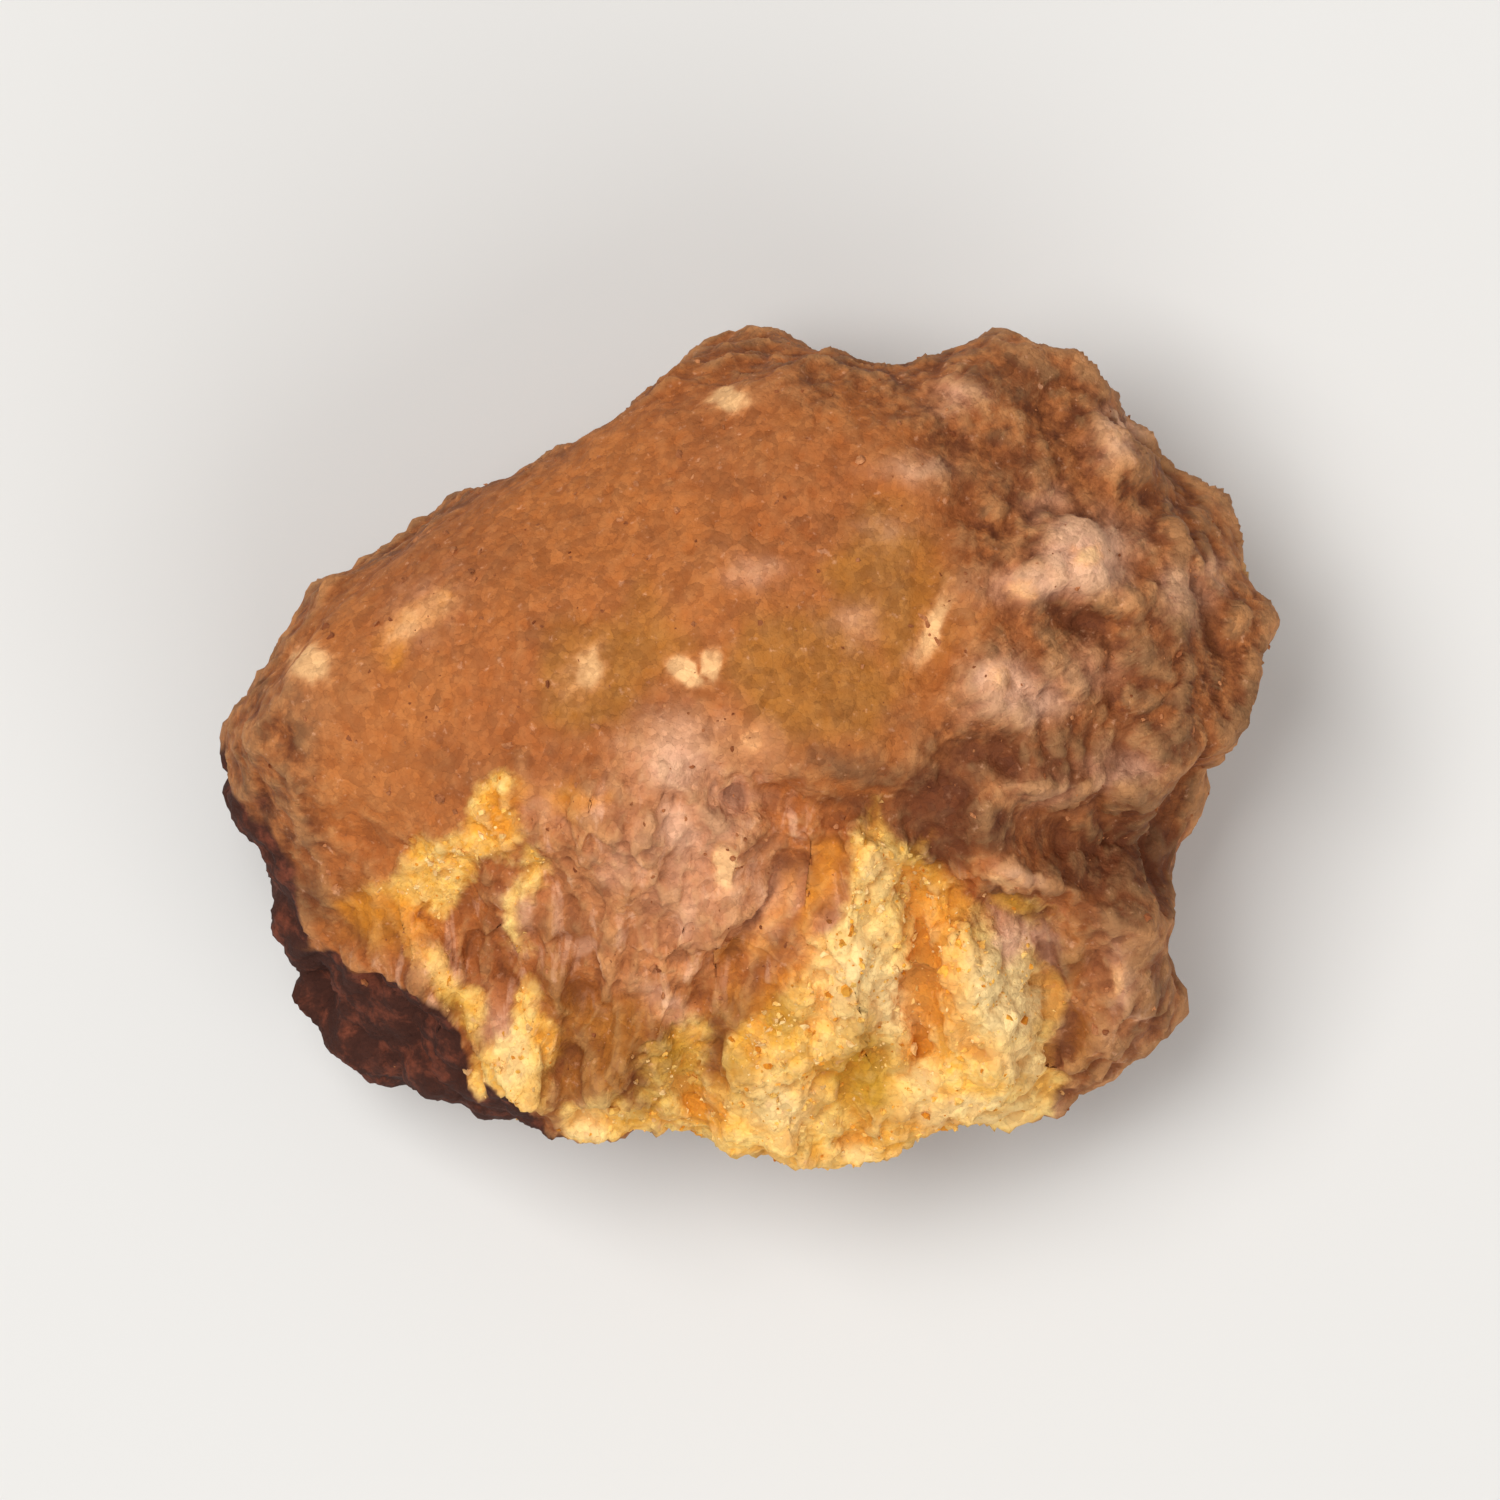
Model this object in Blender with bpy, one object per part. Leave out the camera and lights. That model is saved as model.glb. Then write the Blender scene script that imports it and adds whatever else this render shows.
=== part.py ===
"""One broken chunk of chaga, the sclerotium of a birch fungus, about 10 mm long.

Units are metres and +Z is up. The chunk lies on a flat break at z = 0, and the origin is on
that break, under the middle of the chunk's bounding box. +X is its long way, and -Y is the side
where the golden, crumbly break is.

The form is worked out in millimetres from a core in the chunk's middle: a block bounded by broken
faces, with its corners chipped, and then facets, knobs, splinters, lumps and folds on its skin.
"""

import bmesh
import bpy
import numpy as np

MM = 0.001

# The skin starts as a fine grid: squares along each edge of a cube, and the share of faces kept.
GRID = 96
FACES_KEPT = 0.085
# How near to the resting break a corner has to be to be laid on it.
SNAP_MM = 0.02

# The outline seen from above, in millimetres from the core, anticlockwise from the long end.
PLAN_MM = (
    (5.26, 0.54), (4.98, 1.95), (4.52, 3.26), (3.00, 3.82), (1.60, 3.70), (0.20, 3.88), (-1.20, 3.10),
    (-2.95, 2.04), (-4.16, 1.00), (-4.90, -0.05), (-5.06, -1.05), (-4.50, -2.25), (-3.25, -3.34),
    (-1.85, -3.70), (-0.40, -3.40), (1.25, -4.18), (2.95, -3.92), (4.12, -3.20), (4.15, -1.75), (4.46, -0.60),
)
PLAN_STEPS = 24

# Half the height that the outline's wall would have on its own, and how square its section is.
WALL_HALF_HEIGHT_MM = 3.6
WALL_SQUARENESS = 3.2

# The broken faces: outward direction, and distance from the core in millimetres.
BROKEN_FACES = (
    ((-0.26, 0.10, 0.96), 2.80),
    ((0.20, 0.06, 0.98), 2.88),
    ((-0.44, 0.56, 0.70), 3.42),
    ((-0.10, 0.66, 0.74), 3.62),
    ((0.40, 0.50, 0.77), 3.72),
    ((0.60, 0.16, 0.78), 3.82),
    ((0.02, -0.60, 0.80), 2.55),
    ((0.46, -0.42, 0.78), 3.10),
    ((-0.42, -0.40, 0.81), 2.95),
    ((-0.747, -0.565, 0.349), 3.90),
    ((-0.56, 0.16, -0.81), 3.66),
    ((0.62, 0.14, -0.77), 3.72),
    ((0.06, -0.62, -0.78), 3.10),
    ((0.10, 0.62, -0.78), 3.42),
    ((-0.34, -0.62, -0.71), 3.85),
    ((0.52, 0.56, -0.64), 4.05),
    ((0.0, 0.0, -1.0), 3.05),
)
EDGE_SHARPNESS = 18.0

# The flat break that the chunk rests on, below the core.
REST_DEPTH_MM = 2.72

# Chips planed off the sides and the underside: how many, how deep as a share of the reach, the draw.
CHIPS = 22
CHIP_SHALLOWEST = 0.02
CHIP_DEEPEST = 0.06
CHIP_HIGHEST_FACING = 0.25
CHIP_SEED = 11

# Hollows left by fragments that broke out: centre and radius of the ball that fits each.
HOLLOWS = (
    ((5.10, -1.10, 0.50), 1.12),
    ((1.55, 4.80, 1.30), 1.20),
    ((-3.30, 3.30, 0.60), 1.20),
    ((-0.80, 5.00, -1.60), 1.50),
    ((5.40, 1.60, -2.10), 1.50),
    ((-4.80, -3.00, -2.00), 1.15),
    ((1.60, -4.70, -1.30), 1.30),
)

# Lumps on the upper side, seen from above: middle, half length, half width, turn in degrees, rise.
TOP_LUMPS = (
    ((3.38, 1.84), 0.46, 0.36, 15, 0.30),
    ((2.55, 0.50), 0.50, 0.42, 0, 0.28),
    ((3.72, 3.02), 0.46, 0.36, -40, 0.26),
    ((2.10, 3.35), 0.50, 0.36, 0, 0.16),
    ((4.35, 1.55), 0.36, 0.46, -10, 0.24),
    ((4.60, 0.55), 0.36, 0.46, 10, 0.26),
    ((3.85, 0.30), 0.40, 0.34, 0, 0.18),
    ((2.55, 1.60), 0.44, 0.30, 10, 0.14),
    ((1.65, 2.60), 0.50, 0.30, 0, 0.10),
    ((3.30, 1.15), 0.32, 0.24, 0, -0.36),
    ((2.75, 2.65), 0.32, 0.26, -30, -0.18),
    ((4.00, 2.35), 0.30, 0.28, 0, -0.18),
    ((-0.66, 0.00), 0.46, 0.40, 0, 0.16),
    ((0.00, -1.15), 0.24, 0.38, 0, 0.18),
    ((-0.65, -0.85), 0.34, 0.28, 0, 0.14),
    ((-1.30, -0.75), 0.38, 0.32, 20, 0.12),
    ((3.82, -2.20), 0.42, 0.85, -6, 0.40),
    ((2.70, -1.28), 0.40, 0.16, -10, 0.16),
    ((2.42, -0.58), 0.20, 0.34, 0, 0.14),
    ((-2.20, 1.60), 1.20, 0.70, 30, 0.08),
    ((-3.60, 0.10), 0.80, 0.60, 40, 0.08),
    ((0.30, 3.10), 0.60, 0.50, 0, 0.10),
)

# Ridges and grooves of the upper side, seen from above: points along it, half width, rise.
FOLDS = (
    (((0.20, -0.38), (0.75, -0.70), (1.32, -0.56), (1.75, -0.74), (2.08, -1.05)), 0.30, -0.36),
    (((2.10, -0.35), (2.60, -0.12)), 0.24, -0.20),
    (((2.36, -1.50), (2.88, -1.76), (3.16, -2.30), (3.20, -3.00)), 0.24, -0.40),
    (((3.05, -0.90), (3.55, -1.06), (4.20, -0.92)), 0.30, -0.44),
    (((-2.38, -1.45), (-2.25, -2.00), (-2.18, -2.45)), 0.30, -0.22),
    (((-1.50, -2.50), (-1.45, -2.95), (-1.25, -3.45)), 0.26, -0.24),
    (((1.82, -1.35), (1.92, -2.15), (1.82, -2.85)), 0.20, -0.34),
    (((0.50, -1.20), (0.12, -2.00), (-0.22, -2.65), (-0.35, -3.30)), 0.22, -0.22),
    (((1.16, -2.90), (1.18, -3.60)), 0.30, -0.28),
    (((2.00, 3.50), (2.15, 2.60), (1.85, 1.70), (1.95, 0.80)), 0.24, -0.12),
    (((-3.90, -0.60), (-3.30, -0.95), (-2.80, -1.55)), 0.22, -0.12),
    (((-2.00, -0.35), (-2.60, -0.80), (-3.25, -1.25)), 0.24, 0.16),
    (((-3.10, -1.80), (-2.62, -2.50), (-2.20, -3.25)), 0.24, 0.16),
    (((-1.80, -2.30), (-1.95, -2.90), (-2.02, -3.45)), 0.24, 0.24),
    (((-1.05, -1.20), (-1.05, -2.10), (-0.92, -3.10)), 0.28, 0.14),
    (((-0.35, -1.60), (-0.36, -2.30), (-0.15, -2.75)), 0.20, 0.12),
    (((0.48, -2.40), (0.38, -3.00), (0.38, -3.60)), 0.22, 0.18),
    (((1.30, -1.05), (1.20, -2.10), (1.05, -2.70)), 0.28, 0.34),
    (((2.40, -1.85), (2.48, -2.30), (2.58, -3.25)), 0.28, 0.34),
    (((2.85, -0.38), (3.45, -0.42), (4.10, -0.48)), 0.20, 0.22),
)
# How much a face has to look up before what is drawn from above is at full height on it.
FACING_FULL = 0.45
# The lumps and folds wander sideways, so that none of them runs straight: how far, and over what length.
WANDER_MM = 0.16
WANDER_LENGTH_MM = 0.75
WANDER_SEED = 63

# The splintered break of the lower half, seen from above: its upper edge and how it fades in.
SPLINTER_EDGE_MM = (
    (-4.60, -2.20), (-3.40, -1.45), (-2.20, -0.60), (-0.90, 0.20),
    (0.30, -0.10), (1.60, -0.40), (2.60, -1.20), (4.60, -2.00),
)
SPLINTER_FADE_MM = 0.5
# Its splinters are small facets: their size, rise and unevenness.
SPLINTER_SIZE_MM = (0.62, 1.10, 0.90)
SPLINTER_RISE_MM = 0.36
SPLINTER_UNEVENNESS = 0.35
SPLINTER_SEED = 43

# The knobbly end: centre, reach, how its edge fades, and the size, height and unevenness of its knobs.
KNOB_MIDDLE_MM = (3.70, 1.10, 0.80)
KNOB_REACH_MM = (2.50, 3.30, 3.00)
KNOB_FADE = 0.4
KNOB_SIZE_MM = 1.05
KNOB_RISE_MM = 0.42
KNOB_UNEVENNESS = 0.30
KNOB_SEED = 33

# The smooth face, which has few facets: centre, reach, how its edge fades, and the share that is left.
SMOOTH_MIDDLE_MM = (-1.60, 1.40, 2.60)
SMOOTH_REACH_MM = (4.80, 3.20, 2.60)
SMOOTH_FADE = 0.33
SMOOTH_SHARE = 0.12

# Facets all round: their size, rise and unevenness.
FACET_SIZE_MM = 2.0
FACET_RISE_MM = 0.62
FACET_UNEVENNESS = 0.20
FACET_SEED = 13

# The mean height of any such facets whose rise is 1, taken off so that they leave the size alone.
FACET_MEAN = 0.29

# Swells of the whole skin, from broad to fine: length and height.
SWELLS_MM = ((2.6, 0.16), (1.2, 0.07), (0.6, 0.04))
SWELL_SEED = 3

CORK_COLOUR = (0.45, 0.15, 0.045, 1.0)
CORK_ROUGHNESS = 0.88


def scrambled(cell, seed):
    """A number from 0 to 1 for each whole-numbered cell: its three indices mixed by odd multipliers."""
    index = cell.astype(np.int64).astype(np.uint32)
    mixed = index[..., 0] * np.uint32(374761393) + index[..., 1] * np.uint32(668265263)
    mixed = mixed + index[..., 2] * np.uint32(2246822519) + np.uint32(seed * 3266489917 % 2**32)
    mixed = (mixed ^ (mixed >> np.uint32(13))) * np.uint32(1274126177)
    mixed = (mixed ^ (mixed >> np.uint32(15))) * np.uint32(2654435761)
    return (mixed ^ (mixed >> np.uint32(16))).astype(np.float64) / 2.0**32


def scrambled_vector(cell, seed):
    """Three numbers from 0 to 1 for each cell, one for each axis."""
    return np.stack([scrambled(cell, seed + axis) for axis in range(3)], axis=1)


def soft_noise(point, seed):
    """Smooth noise from -1 to 1: the eight corner values of each unit cell, eased between along each axis."""
    corner = np.floor(point)
    share = point - corner
    share = share**3 * (share * (share * 6 - 15) + 10)
    total = np.zeros(len(point))
    for step in np.ndindex(2, 2, 2):
        weight = np.prod(np.where(np.array(step) == 1, share, 1 - share), axis=1)
        total += weight * scrambled(corner + step, seed)
    return total * 2 - 1


def wandered(point, distance, length, seed):
    """The points moved by smooth noise, that far over that length, so that what is drawn on them wanders."""
    return point + distance * np.stack([soft_noise(point / length, seed + axis) for axis in range(3)], axis=1)


def hewn(point, unevenness, seed):
    """Height of dished facets that meet in ridges, about 0 on the whole.

    It is the least, over the scattered middles round a point, of the squared distance from the middle,
    less a depth of that middle's own, and less the mean height.
    """
    corner = np.floor(point)
    least = np.full(len(point), np.inf)
    for step in np.ndindex(3, 3, 3):
        cell = corner + np.array(step) - 1
        away = point - cell - scrambled_vector(cell, seed)
        depth = unevenness * (scrambled(cell, seed + 3) - 0.5)
        least = np.minimum(least, np.sum(away**2, axis=1) - depth)
    return least - FACET_MEAN


def eased(value):
    """0 up to 0, 1 from 1 on, and a smooth S between."""
    share = np.clip(value, 0, 1)
    return share * share * (3 - 2 * share)


def within(point, middle, reach):
    """1 at the middle of an egg-shaped region and 0 from its edge on, falling evenly between them."""
    return np.clip(1 - np.linalg.norm((point - np.array(middle)) / np.array(reach), axis=1), 0, 1)


def plan_reach(bearing):
    """How far the outline reaches at each bearing, along a closed Catmull-Rom curve through PLAN_MM."""
    before, start, end, after = (np.roll(PLAN_MM, shift, axis=0) for shift in (1, 0, -1, -2))
    t = (np.arange(PLAN_STEPS) / PLAN_STEPS)[:, None, None]
    curve = 0.5 * (
        2 * start
        + (end - before) * t
        + (2 * before - 5 * start + 4 * end - after) * t**2
        + (3 * start - before - 3 * end + after) * t**3
    )
    curve = curve.reshape(-1, 2)
    angles = np.arctan2(curve[:, 1], curve[:, 0])
    order = np.argsort(angles)
    return np.interp(bearing, angles[order], np.hypot(*curve.T)[order], period=2 * np.pi)


def block(direction):
    """The block before wear, and the way that its skin faces.

    The reach is one over the p-norm of how soon each face is met, so that faces are flat and edges a
    little round. The facing is the mean of the faces' directions, each by its share in that norm.
    """
    level = np.hypot(direction[:, 0], direction[:, 1])
    reach = plan_reach(np.arctan2(direction[:, 1], direction[:, 0]))
    wall = (level / reach) ** WALL_SQUARENESS
    wall += (np.abs(direction[:, 2]) / WALL_HALF_HEIGHT_MM) ** WALL_SQUARENESS
    nearness = wall ** (EDGE_SHARPNESS / WALL_SQUARENESS)
    facing = nearness[:, None] * direction
    for normal, distance in BROKEN_FACES:
        unit = np.array(normal) / np.linalg.norm(normal)
        share = (np.clip(direction @ unit, 0, None) / distance) ** EDGE_SHARPNESS
        nearness += share
        facing += share[:, None] * unit
    facing /= np.linalg.norm(facing, axis=1)[:, None]
    return direction * (nearness ** (-1 / EDGE_SHARPNESS))[:, None], facing


def chipped(point):
    """Corners chipped off the sides and the underside: points beyond each chip's plane are laid onto it."""
    draw = np.random.default_rng(CHIP_SEED)
    for _ in range(CHIPS):
        normal = draw.normal(size=3)
        normal[2] = min(normal[2], CHIP_HIGHEST_FACING)
        normal /= np.linalg.norm(normal)
        depth = draw.uniform(CHIP_SHALLOWEST, CHIP_DEEPEST)
        along = point @ normal
        beyond = np.clip(along - along.max() * (1 - depth), 0, None)
        point = point - beyond[:, None] * normal
    return point


def hollowed(point):
    """Hollows: points inside each ball move out to its skin, which leaves a dished break."""
    for centre, radius in HOLLOWS:
        away = point - np.array(centre)
        distance = np.linalg.norm(away, axis=1)
        pushed = np.array(centre) + away * (radius / distance)[:, None]
        point = np.where((distance < radius)[:, None], pushed, point)
    return point


def bells(point, spots):
    """For each spot drawn from above: a bell, 1 at its middle, and the spot's last number."""
    for middle, half_length, half_width, turn, last in spots:
        angle = np.radians(turn)
        away = point[:, :2] - np.array(middle)
        along = (away[:, 0] * np.cos(angle) + away[:, 1] * np.sin(angle)) / half_length
        across = (away[:, 1] * np.cos(angle) - away[:, 0] * np.sin(angle)) / half_width
        yield np.exp(-(along**2) - across**2), last


def from_path(point, path):
    """Each point's distance, seen from above, from the nearest stretch of the path."""
    nearest = np.full(len(point), np.inf)
    for start, end in zip(np.array(path[:-1]), np.array(path[1:])):
        run = end - start
        share = np.clip((point[:, :2] - start) @ run / (run @ run), 0, 1)
        nearest = np.minimum(nearest, np.linalg.norm(point[:, :2] - start - share[:, None] * run, axis=1))
    return nearest


def top_rise(point):
    """Height of the lumps and folds that are drawn from above, each a bell across its width."""
    point = wandered(point, WANDER_MM, WANDER_LENGTH_MM, WANDER_SEED)
    rise = sum(height * bell for bell, height in bells(point, TOP_LUMPS))
    for path, half_width, height in FOLDS:
        rise += height * np.exp(-((from_path(point, path) / half_width) ** 2))
    return rise


def below_edge(point):
    """1 on the splintered break, 0 above its upper edge, seen from above."""
    edge_x, edge_y = np.array(SPLINTER_EDGE_MM).T
    return eased((np.interp(point[:, 0], edge_x, edge_y) - point[:, 1]) / SPLINTER_FADE_MM)


def smooth_face(point):
    """1 on the smooth face, 0 away from it."""
    return eased(within(point, SMOOTH_MIDDLE_MM, SMOOTH_REACH_MM) / SMOOTH_FADE)


def knobbly_end(point):
    """1 on the knobbly end, 0 away from it."""
    return eased(within(point, KNOB_MIDDLE_MM, KNOB_REACH_MM) / KNOB_FADE)


def skin_rise(point, upward):
    """Height of the swells, facets and knobs, which follow the skin all round, and of the splinters above."""
    rise = np.zeros(len(point))
    for octave, (length, height) in enumerate(SWELLS_MM):
        rise += height * soft_noise(point / length, SWELL_SEED + octave)
    ragged = wandered(point, WANDER_MM, WANDER_LENGTH_MM, WANDER_SEED)
    knobbly, splintered = knobbly_end(point), below_edge(point) * upward
    plain = (1 - smooth_face(point) * (1 - SMOOTH_SHARE)) * (1 - knobbly) * (1 - splintered)
    rise += FACET_RISE_MM * plain * hewn(ragged / FACET_SIZE_MM, FACET_UNEVENNESS, FACET_SEED)
    rise -= KNOB_RISE_MM * knobbly * hewn(ragged / KNOB_SIZE_MM, KNOB_UNEVENNESS, KNOB_SEED)
    splinters = hewn(ragged / np.array(SPLINTER_SIZE_MM), SPLINTER_UNEVENNESS, SPLINTER_SEED)
    return rise + SPLINTER_RISE_MM * splintered * splinters


def skin(direction):
    """The chunk's main form for each direction from its core, in millimetres."""
    point, facing = block(direction)
    point = hollowed(chipped(point))
    upward = eased(facing[:, 2] / FACING_FULL)
    raised = point + skin_rise(point, upward)[:, None] * facing
    raised[:, 2] += top_rise(point) * upward
    return raised


def mesh_of(points_mesh, name):
    """A mesh block made from the bmesh, which is freed."""
    data = bpy.data.meshes.new(name)
    points_mesh.to_mesh(data)
    points_mesh.free()
    return data


def fine_skin():
    """The skin on a fine grid: a cube's grid, each vertex sent out to where its direction meets the skin."""
    mesh = bmesh.new()
    bmesh.ops.create_cube(mesh, size=2)
    bmesh.ops.subdivide_edges(mesh, edges=mesh.edges, cuts=GRID - 1, use_grid_fill=True)
    lattice = np.array([vertex.co for vertex in mesh.verts])
    direction = np.tan(lattice * (np.pi / 4))
    direction /= np.linalg.norm(direction, axis=1)[:, None]
    for vertex, place in zip(mesh.verts, skin(direction) * MM):
        vertex.co = place
    return mesh_of(mesh, "fine_skin")


def thinned(data):
    """The same form with fewer faces, kept where the skin bends most."""
    fine = bpy.data.objects.new("fine_skin", data)
    bpy.context.scene.collection.objects.link(fine)
    thinner = fine.modifiers.new("thinner", "DECIMATE")
    thinner.ratio = FACES_KEPT
    graph = bpy.context.evaluated_depsgraph_get()
    thin = bpy.data.meshes.new_from_object(fine.evaluated_get(graph))
    bpy.data.objects.remove(fine)
    return thin


def stood_on_its_break(data):
    """The form cut flat below, closed there with one face, and stood on the origin."""
    mesh = bmesh.new()
    mesh.from_mesh(data)
    geometry = [*mesh.verts, *mesh.edges, *mesh.faces]
    level = -REST_DEPTH_MM * MM
    bmesh.ops.bisect_plane(
        mesh, geom=geometry, dist=SNAP_MM * MM, plane_co=(0, 0, level), plane_no=(0, 0, -1), clear_outer=True
    )
    rim = [edge for edge in mesh.edges if edge.is_boundary]
    for vertex in {corner for edge in rim for corner in edge.verts}:
        vertex.co.z = level
    bmesh.ops.contextual_create(mesh, geom=rim)
    bmesh.ops.recalc_face_normals(mesh, faces=mesh.faces)
    corners = np.array([vertex.co for vertex in mesh.verts])
    middle = (corners.min(axis=0) + corners.max(axis=0)) / 2
    bmesh.ops.translate(mesh, verts=mesh.verts, vec=(-middle[0], -middle[1], -corners[:, 2].min()))
    return mesh_of(mesh, "chaga_chunk")


def cork():
    """The rust-brown cork of the chunk's inside."""
    material = bpy.data.materials.new("chaga_cork")
    material.use_nodes = True
    shader = material.node_tree.nodes["Principled BSDF"]
    shader.inputs["Base Color"].default_value = CORK_COLOUR
    shader.inputs["Roughness"].default_value = CORK_ROUGHNESS
    shader.inputs["Metallic"].default_value = 0.0
    return material


def main():
    for old in list(bpy.data.objects):
        bpy.data.objects.remove(old)
    data = stood_on_its_break(thinned(fine_skin()))
    data.materials.append(cork())
    chunk = bpy.data.objects.new("chaga_chunk", data)
    bpy.context.scene.collection.objects.link(chunk)


main()
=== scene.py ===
"""The looks of one broken chunk of chaga: its grain, colours and crumbs, on a plain pale floor.

The form is worked out in millimetres from a core in the chunk's middle, as the solid's is, and then
finer grain is laid on it. It is set down where the frame's solid stands, and made in metres.
"""

import bpy
import numpy as np
from bpy.props import FloatProperty, FloatVectorProperty, IntProperty, PointerProperty
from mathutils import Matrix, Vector


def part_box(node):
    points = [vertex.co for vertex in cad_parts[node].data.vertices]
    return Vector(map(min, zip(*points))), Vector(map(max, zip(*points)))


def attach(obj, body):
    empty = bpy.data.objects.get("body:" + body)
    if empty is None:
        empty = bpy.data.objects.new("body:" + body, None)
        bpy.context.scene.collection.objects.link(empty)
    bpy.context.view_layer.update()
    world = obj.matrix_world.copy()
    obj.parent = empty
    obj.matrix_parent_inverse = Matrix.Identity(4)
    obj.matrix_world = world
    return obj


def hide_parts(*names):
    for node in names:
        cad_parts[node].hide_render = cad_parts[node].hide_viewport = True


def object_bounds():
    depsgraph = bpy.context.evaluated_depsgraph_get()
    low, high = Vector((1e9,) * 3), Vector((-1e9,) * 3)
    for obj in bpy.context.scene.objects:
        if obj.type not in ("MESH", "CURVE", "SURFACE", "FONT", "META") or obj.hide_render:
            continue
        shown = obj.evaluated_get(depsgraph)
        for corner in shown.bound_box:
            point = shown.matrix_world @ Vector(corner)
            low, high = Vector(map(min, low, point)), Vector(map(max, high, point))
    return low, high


bl_info = {
    "name": "Chaga chunk",
    "version": (1, 0, 0),
    "blender": (4, 5, 0),
    "location": "3D View > Sidebar > Chaga",
    "description": "Builds the fine skin, finish and crumbs of a broken chunk of chaga, and a stage for it",
    "category": "Object",
}

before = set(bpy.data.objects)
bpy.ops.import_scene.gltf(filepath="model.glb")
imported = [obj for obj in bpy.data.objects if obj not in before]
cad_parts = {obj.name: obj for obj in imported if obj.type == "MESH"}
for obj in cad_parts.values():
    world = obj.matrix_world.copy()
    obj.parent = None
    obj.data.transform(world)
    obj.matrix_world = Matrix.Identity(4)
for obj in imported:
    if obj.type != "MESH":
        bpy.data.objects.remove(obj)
CAD_BOX = [list(corner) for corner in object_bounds()]
NODE = "chaga_chunk"
BODY = "root"

MM = 0.001
TINY = 1e-9

# The outline seen from above, in millimetres from the core, anticlockwise from the long end.
PLAN_MM = (
    (5.26, 0.54), (4.98, 1.95), (4.52, 3.26), (3.00, 3.82), (1.60, 3.70), (0.20, 3.88), (-1.20, 3.10),
    (-2.95, 2.04), (-4.16, 1.00), (-4.90, -0.05), (-5.06, -1.05), (-4.50, -2.25), (-3.25, -3.34),
    (-1.85, -3.70), (-0.40, -3.40), (1.25, -4.18), (2.95, -3.92), (4.12, -3.20), (4.15, -1.75), (4.46, -0.60),
)
PLAN_STEPS = 24

# Half the height that the outline's wall would have on its own, and how square its section is.
WALL_HALF_HEIGHT_MM = 3.6
WALL_SQUARENESS = 3.2

# The broken faces: outward direction, and distance from the core in millimetres.
BROKEN_FACES = (
    ((-0.26, 0.10, 0.96), 2.80),
    ((0.20, 0.06, 0.98), 2.88),
    ((-0.44, 0.56, 0.70), 3.42),
    ((-0.10, 0.66, 0.74), 3.62),
    ((0.40, 0.50, 0.77), 3.72),
    ((0.60, 0.16, 0.78), 3.82),
    ((0.02, -0.60, 0.80), 2.55),
    ((0.46, -0.42, 0.78), 3.10),
    ((-0.42, -0.40, 0.81), 2.95),
    ((-0.747, -0.565, 0.349), 3.90),
    ((-0.56, 0.16, -0.81), 3.66),
    ((0.62, 0.14, -0.77), 3.72),
    ((0.06, -0.62, -0.78), 3.10),
    ((0.10, 0.62, -0.78), 3.42),
    ((-0.34, -0.62, -0.71), 3.85),
    ((0.52, 0.56, -0.64), 4.05),
    ((0.0, 0.0, -1.0), 3.05),
)
EDGE_SHARPNESS = 18.0

# The flat break that the chunk rests on, below the core.
REST_DEPTH_MM = 2.72

# Chips planed off the sides and the underside: how many, how deep as a share of the reach, the draw.
CHIPS = 22
CHIP_SHALLOWEST = 0.02
CHIP_DEEPEST = 0.06
CHIP_HIGHEST_FACING = 0.25
CHIP_SEED = 11

# Hollows left by fragments that broke out: centre and radius of the ball that fits each.
HOLLOWS = (
    ((5.10, -1.10, 0.50), 1.12),
    ((1.55, 4.80, 1.30), 1.20),
    ((-3.30, 3.30, 0.60), 1.20),
    ((-0.80, 5.00, -1.60), 1.50),
    ((5.40, 1.60, -2.10), 1.50),
    ((-4.80, -3.00, -2.00), 1.15),
    ((1.60, -4.70, -1.30), 1.30),
)

# Lumps on the upper side, seen from above: middle, half length, half width, turn in degrees, rise.
TOP_LUMPS = (
    (3.38, 1.84, 0.46, 0.36, 15, 0.30), (2.55, 0.50, 0.50, 0.42, 0, 0.28),
    (3.72, 3.02, 0.46, 0.36, -40, 0.26), (2.10, 3.35, 0.50, 0.36, 0, 0.16),
    (4.35, 1.55, 0.36, 0.46, -10, 0.24), (4.60, 0.55, 0.36, 0.46, 10, 0.26),
    (3.85, 0.30, 0.40, 0.34, 0, 0.18), (2.55, 1.60, 0.44, 0.30, 10, 0.14),
    (1.65, 2.60, 0.50, 0.30, 0, 0.10), (3.30, 1.15, 0.32, 0.24, 0, -0.36),
    (2.75, 2.65, 0.32, 0.26, -30, -0.18), (4.00, 2.35, 0.30, 0.28, 0, -0.18),
    (-0.66, 0.00, 0.46, 0.40, 0, 0.16), (0.00, -1.15, 0.24, 0.38, 0, 0.18),
    (-0.65, -0.85, 0.34, 0.28, 0, 0.14), (-1.30, -0.75, 0.38, 0.32, 20, 0.12),
    (3.82, -2.20, 0.42, 0.85, -6, 0.40), (2.70, -1.28, 0.40, 0.16, -10, 0.16),
    (2.42, -0.58, 0.20, 0.34, 0, 0.14), (-2.20, 1.60, 1.20, 0.70, 30, 0.08),
    (-3.60, 0.10, 0.80, 0.60, 40, 0.08), (0.30, 3.10, 0.60, 0.50, 0, 0.10),
)

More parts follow.
